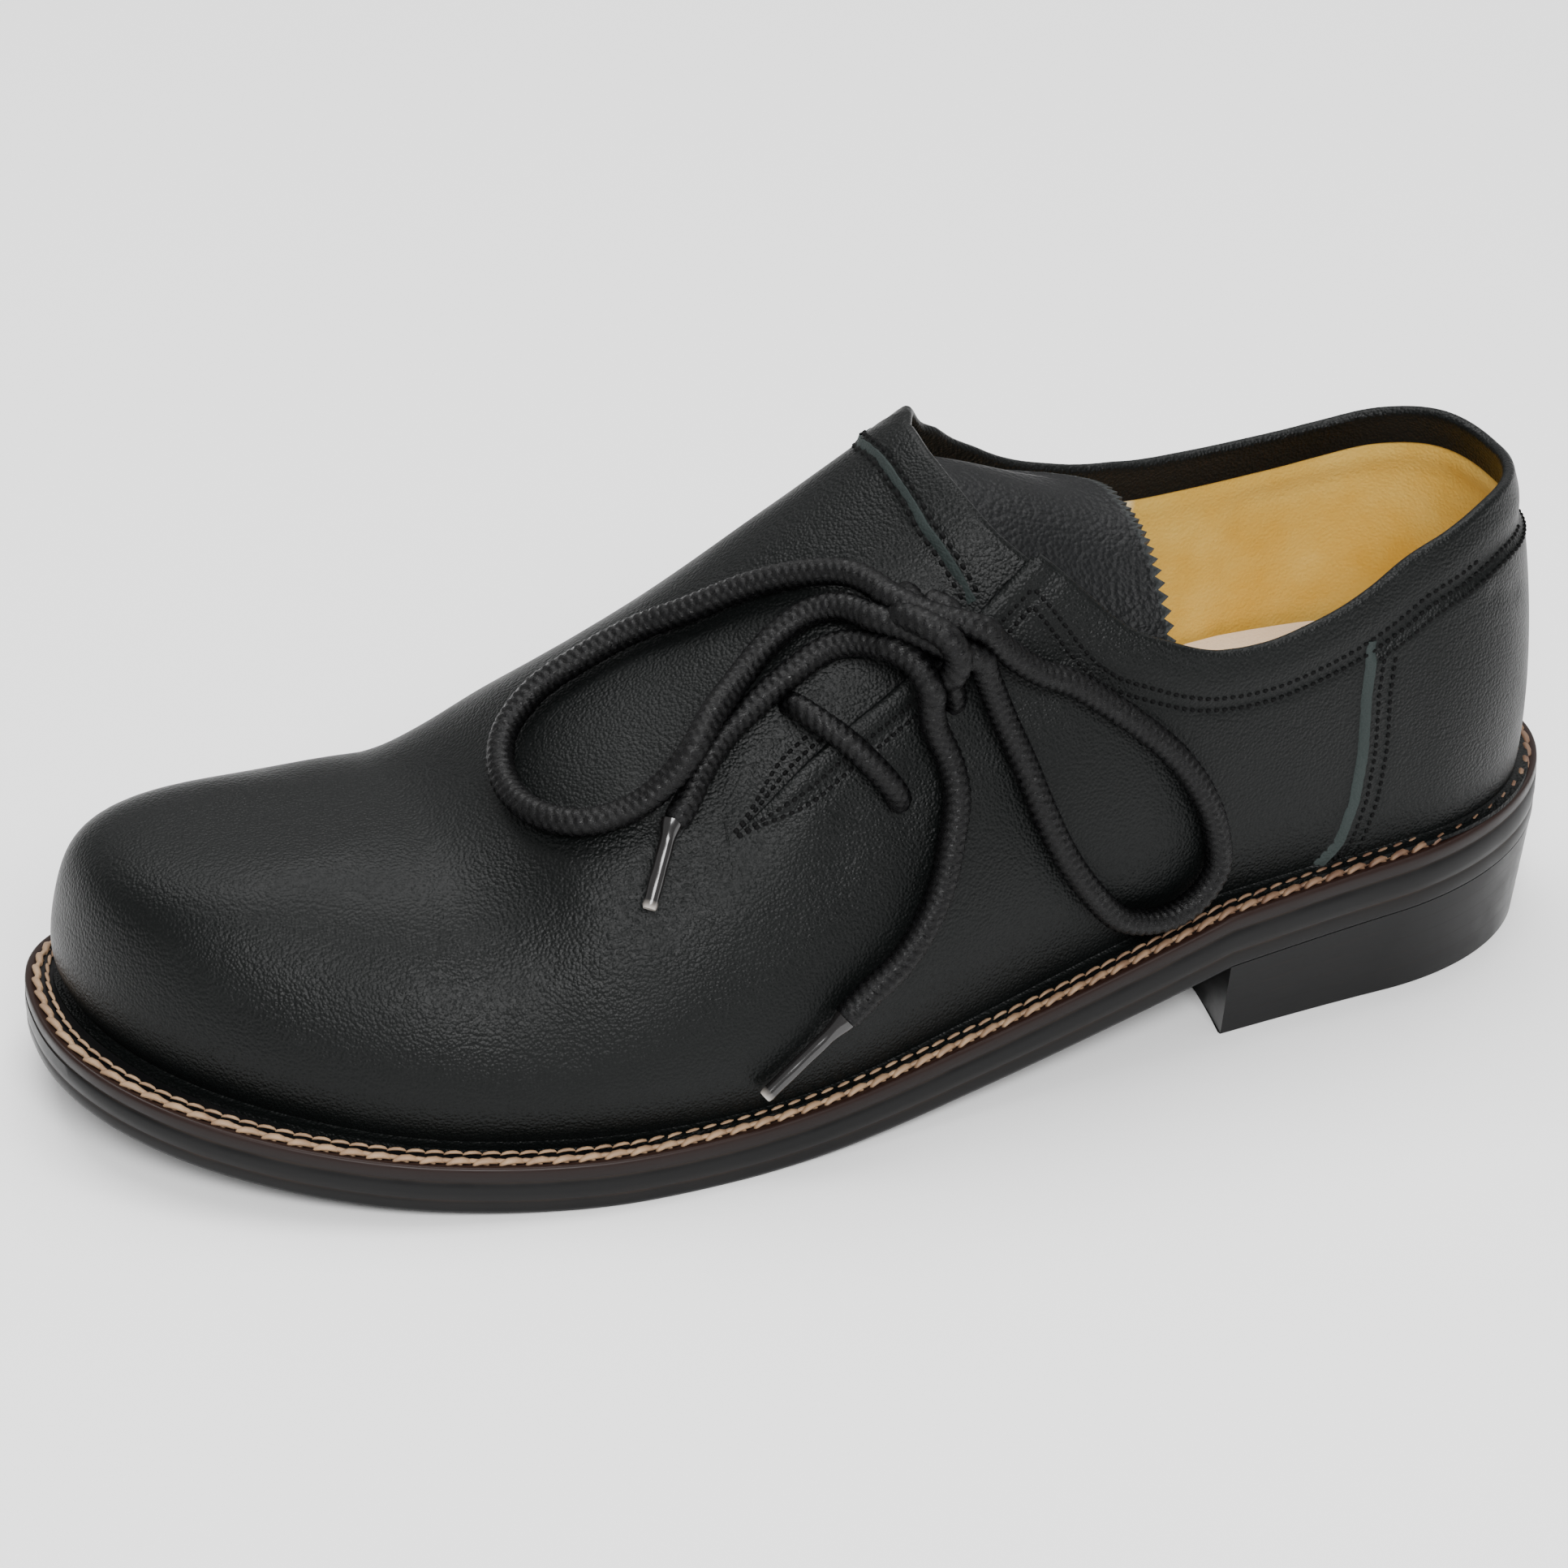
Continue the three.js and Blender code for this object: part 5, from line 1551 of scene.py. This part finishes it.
# %% [markdown]
# ## Lace
# The lace is round braid. Its strands cross in a weave, and the height of the weave is worked out
# at each corner of the tube. It runs through four holes and is tied in a bow.

# %% Lace routes
LACE_DIAMETER, BAR_DIAMETER = 4.8, 4.3
LOWER_BAR = [
    # way, up, height over the last
    [0.546, 0.628, -2.0],
    [0.546, 0.626, 0.6],
    [0.541, 0.595, 3.9],
    [0.523, 0.505, 5.4],
    [0.505, 0.412, 3.9],
    [0.499, 0.381, 0.6],
    [0.499, 0.379, -2.0],
]
UPPER_BAR = [
    # way, up, height over the last
    [0.474, 0.660, -2.0],
    [0.474, 0.658, 0.8],
    [0.472, 0.632, 4.0],
    [0.467, 0.560, 5.6],
    [0.462, 0.484, 4.4],
    [0.460, 0.457, 1.0],
    [0.460, 0.455, -2.0],
]
FRONT_LOOP = [
    # way, up, height over the last
    [0.480, 0.640, 9.4],
    [0.497, 0.739, 5.4],
    [0.521, 0.819, 3.4],
    [0.546, 0.880, 3.0],
    [0.573, 0.930, 3.0],
    [0.600, 0.985, 3.0],
    [0.630, 1.006, 3.0],
    [0.657, 1.004, 3.0],
    [0.677, 0.959, 3.0],
    [0.687, 0.875, 3.0],
    [0.687, 0.773, 3.0],
    [0.678, 0.691, 3.0],
    [0.661, 0.630, 3.0],
    [0.637, 0.610, 3.4],
    [0.616, 0.617, 6.0],
    [0.598, 0.639, 8.6],
    [0.584, 0.673, 7.6],
    [0.566, 0.712, 4.6],
    [0.544, 0.742, 3.4],
    [0.523, 0.738, 3.6],
    [0.508, 0.706, 5.0],
    [0.492, 0.636, 9.0],
]
FRONT_END = [
    # way, up, height over the last
    [0.491, 0.590, 8.0],
    [0.504, 0.632, 4.8],
    [0.520, 0.662, 3.2],
    [0.542, 0.666, 3.0],
    [0.564, 0.659, 2.9],
    [0.584, 0.644, 2.9],
    [0.601, 0.609, 2.9],
    [0.612, 0.574, 2.9],
    [0.6228, 0.5480, 2.8],
]
REAR_LOOP = [
    # way, up, height over the last
    [0.442, 0.528, 10.6],
    [0.430, 0.478, 7.8],
    [0.414, 0.426, 5.4],
    [0.396, 0.384, 4.0],
    [0.380, 0.341, 3.2],
    [0.357, 0.280, 3.0],
    [0.336, 0.221, 3.0],
    [0.320, 0.163, 3.0],
    [0.310, 0.107, 3.0],
    [0.308, 0.065, 3.2],
    [0.318, 0.040, 3.6],
    [0.334, 0.032, 3.8],
    [0.352, 0.040, 3.6],
    [0.371, 0.064, 3.2],
    [0.390, 0.118, 3.0],
    [0.407, 0.187, 3.0],
    [0.418, 0.254, 3.0],
    [0.427, 0.326, 3.0],
    [0.437, 0.403, 4.2],
    [0.443, 0.455, 6.6],
    [0.4475, 0.494, 9.6],
]
REAR_END = [
    # way, up, height over the last
    [0.478, 0.508, 9.4],
    [0.477, 0.452, 5.4],
    [0.470, 0.393, 3.4],
    [0.468, 0.342, 3.2],
    [0.474, 0.287, 2.9],
    [0.482, 0.241, 2.9],
    [0.495, 0.201, 2.9],
    [0.511, 0.173, 2.9],
    [0.531, 0.155, 2.9],
    [0.5495, 0.1330, 2.8],
]
FRONT_AGLET = [
    # way, up, height over the last
    [0.6243, 0.5425, 2.7],
    [0.644, 0.436, 2.5],
]
REAR_AGLET = [
    # way, up, height over the last
    [0.5510, 0.1305, 2.7],
    [0.593, 0.058, 2.5],
]
KNOT_WAY, KNOT_UP, KNOT_HEIGHT = 0.468, 0.566, 11.9


# %% Braided tubes
BRAID_STRANDS, BRAID_PITCH = 8, 1.75


def smooth_route(points, spacing):
    """A smooth line through points, in even steps."""
    points = np.asarray(points, float)
    chord = np.concatenate([[0], np.cumsum(np.sqrt(np.linalg.norm(np.diff(points, axis=0), axis=1)))])
    fine = read(np.column_stack([chord, points]), np.linspace(0, chord[-1], 1500))
    length = line_length(fine)
    even = np.linspace(0, length[-1], max(3, int(round(length[-1] / spacing)) + 1))
    return np.stack([np.interp(even, length, fine[:, axis]) for axis in range(3)], -1), length[-1]


def carried_frames(points):
    """Directions across a line that are carried along it without twist."""
    along = np.gradient(points, axis=0)
    along /= np.linalg.norm(along, axis=1, keepdims=True)
    first = np.cross(along[0], [0, 0, 1])
    frames = [first / np.linalg.norm(first)]
    for direction in along[1:]:
        moved = frames[-1] - direction * np.dot(frames[-1], direction)
        frames.append(moved / np.linalg.norm(moved))
    first = np.array(frames)
    return first, np.cross(along, first)


def weave(along, around, strands, pitch):
    """Height of a plain braid: two sets of strands wind in opposite ways, one over one."""
    a = along / pitch + around * strands / 2
    b = along / pitch - around * strands / 2
    over = np.where((np.floor(a) + np.floor(b)) % 2 < 1, 1.0, -1.0)
    across_a, across_b = a % 1 - 0.5, b % 1 - 0.5
    round_a, round_b = (np.sqrt(1 - 0.98 * (1.9 * across) ** 2) for across in (across_a, across_b))
    strand_a = round_a * (1 + 0.55 * over * np.cos(np.pi * across_b))
    strand_b = round_b * (1 - 0.55 * over * np.cos(np.pi * across_a))
    return np.maximum(strand_a, strand_b)


def braid(name, points, diameter=LACE_DIAMETER, spacing=0.36, sides=34, narrow=False):
    """narrow thins the last 3 mm, which an aglet grips."""
    line, length = smooth_route(points, spacing)
    first, second = carried_frames(line)
    angle = np.linspace(0, 2 * np.pi, sides + 1)[:, None]
    along = (np.arange(len(line)) * length / (len(line) - 1))[None]
    height = weave(along, angle / (2 * np.pi), BRAID_STRANDS, BRAID_PITCH)
    radius = diameter / 2 - 0.34 + 0.40 * height
    end = np.minimum(np.arange(len(line)), np.arange(len(line))[::-1])
    radius = radius * np.sqrt(np.clip(end / 4, 0, 1))[None] + 0.001
    if narrow:
        radius = radius * mix(1.0, 0.78, step_between(length - 3, length, along))
    radius[-1] = radius[0]
    spokes = np.cos(angle)[..., None] * first + np.sin(angle)[..., None] * second
    tube = line + radius[..., None] * spokes
    # raised also sets where the lace is tinted darker, the painted shade in the weave's valleys.
    piece = lay_grid(name, tube, wrap=True, marks={"raised": np.clip(height / 1.3, 0, 1) ** 2})
    agree(piece)
    smooth(piece, 75)
    return piece, line, length


def route_points(route):
    rows = np.array(route)
    return over_last(-1, rows[:, 0], rows[:, 1], rows[:, 2])


def declare(line):
    path = metres(line[:: max(1, len(line) // 120)])
    path = np.vstack([path, metres(line[-1:])])


# %% Lace through the holes
for name, route, node in (
    ("lace_crossing_lower", LOWER_BAR, "lace_bar_lower"),
    ("lace_crossing_upper", UPPER_BAR, "lace_bar_upper"),
):
    piece, line, length = braid(name, route_points(route), BAR_DIAMETER)
    finish_piece(piece, LACE_CORD, "lace_cord", node)
    print(name, round(length, 1), "mm")

# %% [markdown]
# The aglets are the plastic sleeves that close the lace's ends. They are drawn thinner than the
# braid, crimped a little, and cut straight, with a pale cut face.

# %% Aglets
AGLET_GRIP = 2.2


def aglet(name, route, node):
    """A sleeve between two places. The 0.001 mm radii close its ends."""
    rows = route_points(route)
    rows[0] -= AGLET_GRIP * (rows[1] - rows[0]) / np.linalg.norm(rows[1] - rows[0])
    line, length = smooth_route([mix(rows[0], rows[1], share) for share in (0, 0.33, 0.66, 1)], 0.8)
    first, second = carried_frames(line)
    share = np.linspace(0, 1, len(line))
    radius = mix(2.12, 1.45, step_between(0, 0.25, share)) * (1 - 0.04 * np.sin(share * 9) ** 2)
    radius[-1] *= 0.82
    line = np.concatenate([line[:1], line, line[-1:]])
    first, second = (np.concatenate([v[:1], v, v[-1:]]) for v in (first, second))
    radius = np.concatenate([[0.001], radius, [0.001]])
    angle = np.linspace(0, 2 * np.pi, 25)[:, None, None]
    tube = line + radius[:, None] * (np.cos(angle) * first + np.sin(angle) * second)
    tip = np.zeros(len(line))
    tip[-3:] = 0.3, 1, 1
    piece = lay_grid(name, tube, wrap=True, marks={"tip": tip[None]})
    agree(piece)
    smooth(piece, 50)
    finish_piece(piece, AGLET, "aglet_plastic", node)
    return piece


front_aglet = aglet("aglet_sleeve_front", FRONT_AGLET, "aglet_front")
rear_aglet = aglet("aglet_sleeve_rear", REAR_AGLET, "aglet_rear")

# %% Knot
knot_middle = over_last(-1, KNOT_WAY, KNOT_UP, KNOT_HEIGHT)
knot_below = over_last(-1, KNOT_WAY, KNOT_UP, 0.0)
knot_out = (knot_middle - knot_below) / np.linalg.norm(knot_middle - knot_below)
towards_toe = over_last(-1, KNOT_WAY + 0.02, KNOT_UP, KNOT_HEIGHT) - knot_middle
towards_toe /= np.linalg.norm(towards_toe)
upwards = np.cross(towards_toe, knot_out)
upwards *= np.sign(upwards[2])


def at_knot(toe, rise, out):
    return knot_middle + towards_toe * toe + upwards * rise + knot_out * out


KNOT_DIAMETER = 4.95
# each strand's places are given towards the toe, upwards and outwards of the knot's middle
KNOT_STRANDS = [
    [
        [3.2, 13.4, -6.4], [1.4, 8.5, -3.1], [-1.4, 3.4, -1.4],
        [-4.8, -0.8, -0.8], [-7.8, -4.6, -1.4], [-8.7, -7.4, -2.9],
    ],
    [
        [8.0, 11.2, -6.2], [6.1, 8.0, -3.5], [3.2, 3.6, -1.6], [0.6, -1.2, -0.8],
        [-2.2, -5.8, -1.2], [-4.2, -8.7, -2.8], [-4.1, -10.8, -4.6],
    ],
    [
        [9.2, 4.8, -5.8], [7.5, 2.7, -3.9], [5.9, -1.6, -2.4],
        [5.9, -5.0, -2.4], [6.2, -7.0, -2.6], [7.5, -10.2, -5.0],
    ],
    [[-2.6, 6.6, -6.4], [-4.8, 2.2, -4.4], [-3.0, -3.6, -4.4], [2.4, -6.0, -5.0], [4.4, -4.4, -6.4]],
    [
        [4.4, 7.0, -5.4], [2.8, 6.0, -0.6], [1.0, 2.6, 2.2], [-0.6, -1.8, 2.9],
        [-0.4, -5.8, 1.0], [1.8, -7.6, -2.0], [2.6, -6.8, -5.4],
    ],
]
knot_parts = []
for index, strand in enumerate(KNOT_STRANDS):
    knot_parts.append(braid(f"knot_strand_{index}", [at_knot(*place) for place in strand], KNOT_DIAMETER)[0])
knot = join("lace_bow_knot", knot_parts)
finish_piece(knot, LACE_CORD, "lace_cord", "lace_knot")

# %% Bow
for name, route, node, far_end, pieces in (
    ("lace_bow_front", FRONT_LOOP, "lace_loop_front", "knot", [knot]),
    ("lace_bow_rear", REAR_LOOP, "lace_loop_rear", "knot", ()),
    ("lace_tail_front", FRONT_END, "lace_end_front", "fitting", [front_aglet]),
    ("lace_tail_rear", REAR_END, "lace_end_rear", "fitting", [rear_aglet]),
):
    piece, line, length = braid(name, route_points(route), narrow=far_end == "fitting")
    finish_piece(piece, LACE_CORD, "lace_cord", node)
    declare(line)
    print(name, round(length, 1), "mm")

# %% [markdown]
# ## Floor and light
# A plain pale floor and large soft lamps, as in a picture of goods. One lamp lights the laced side
# from the front, a larger one above gives the soft sheen along the toe, and a faint one stands
# behind the heel.

# %% Floor and light
floor_finish = Finish("floor", (0.97, 0.97, 0.97), 0.95)
clear_selection()
bpy.ops.mesh.primitive_plane_add(size=6)
floor = bpy.context.object
floor.name = "floor"
floor.data.materials.append(floor_finish.material)
lamps = []
for name, place, aim, size, power in (
    ("lamp_front", (-0.25, -1.15, 1.05), (-0.05, 0, 0.03), (0.9, 0.45), 31.0),
    ("lamp_above", (0.10, 0.45, 1.45), (0, 0, 0.04), (1.4, 0.9), 30.0),
    ("lamp_back", (1.2, 0.6, 0.9), (0, 0, 0.05), (0.8, 0.8), 1.5),
):
    clear_selection()
    bpy.ops.object.light_add(type="AREA", location=place)
    lamp = bpy.context.object
    lamp.name = name
    lamp.data.shape = "RECTANGLE"
    lamp.data.size, lamp.data.size_y = size
    lamp.data.energy = power
    lamp.rotation_euler = (Vector(aim) - Vector(place)).to_track_quat("-Z", "Y").to_euler()
    lamps.append(lamp)
world = bpy.data.worlds.new("studio")
world.use_nodes = True
world.node_tree.nodes["Background"].inputs["Color"].default_value = (1, 1, 1, 1)
world.node_tree.nodes["Background"].inputs["Strength"].default_value = 0.62
bpy.context.scene.world = world
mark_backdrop(floor, *lamps)

# %% Sizes of the plain solids and of the dressed shoe
FULL_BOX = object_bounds()


def plain(box):
    if isinstance(box, dict):
        return {key: plain(value) for key, value in box.items()}
    if isinstance(box, (list, tuple, Vector)):
        return [plain(value) for value in box]
    return float(box)


{"plain": plain(PLAIN_BOX), "full": plain(FULL_BOX)}
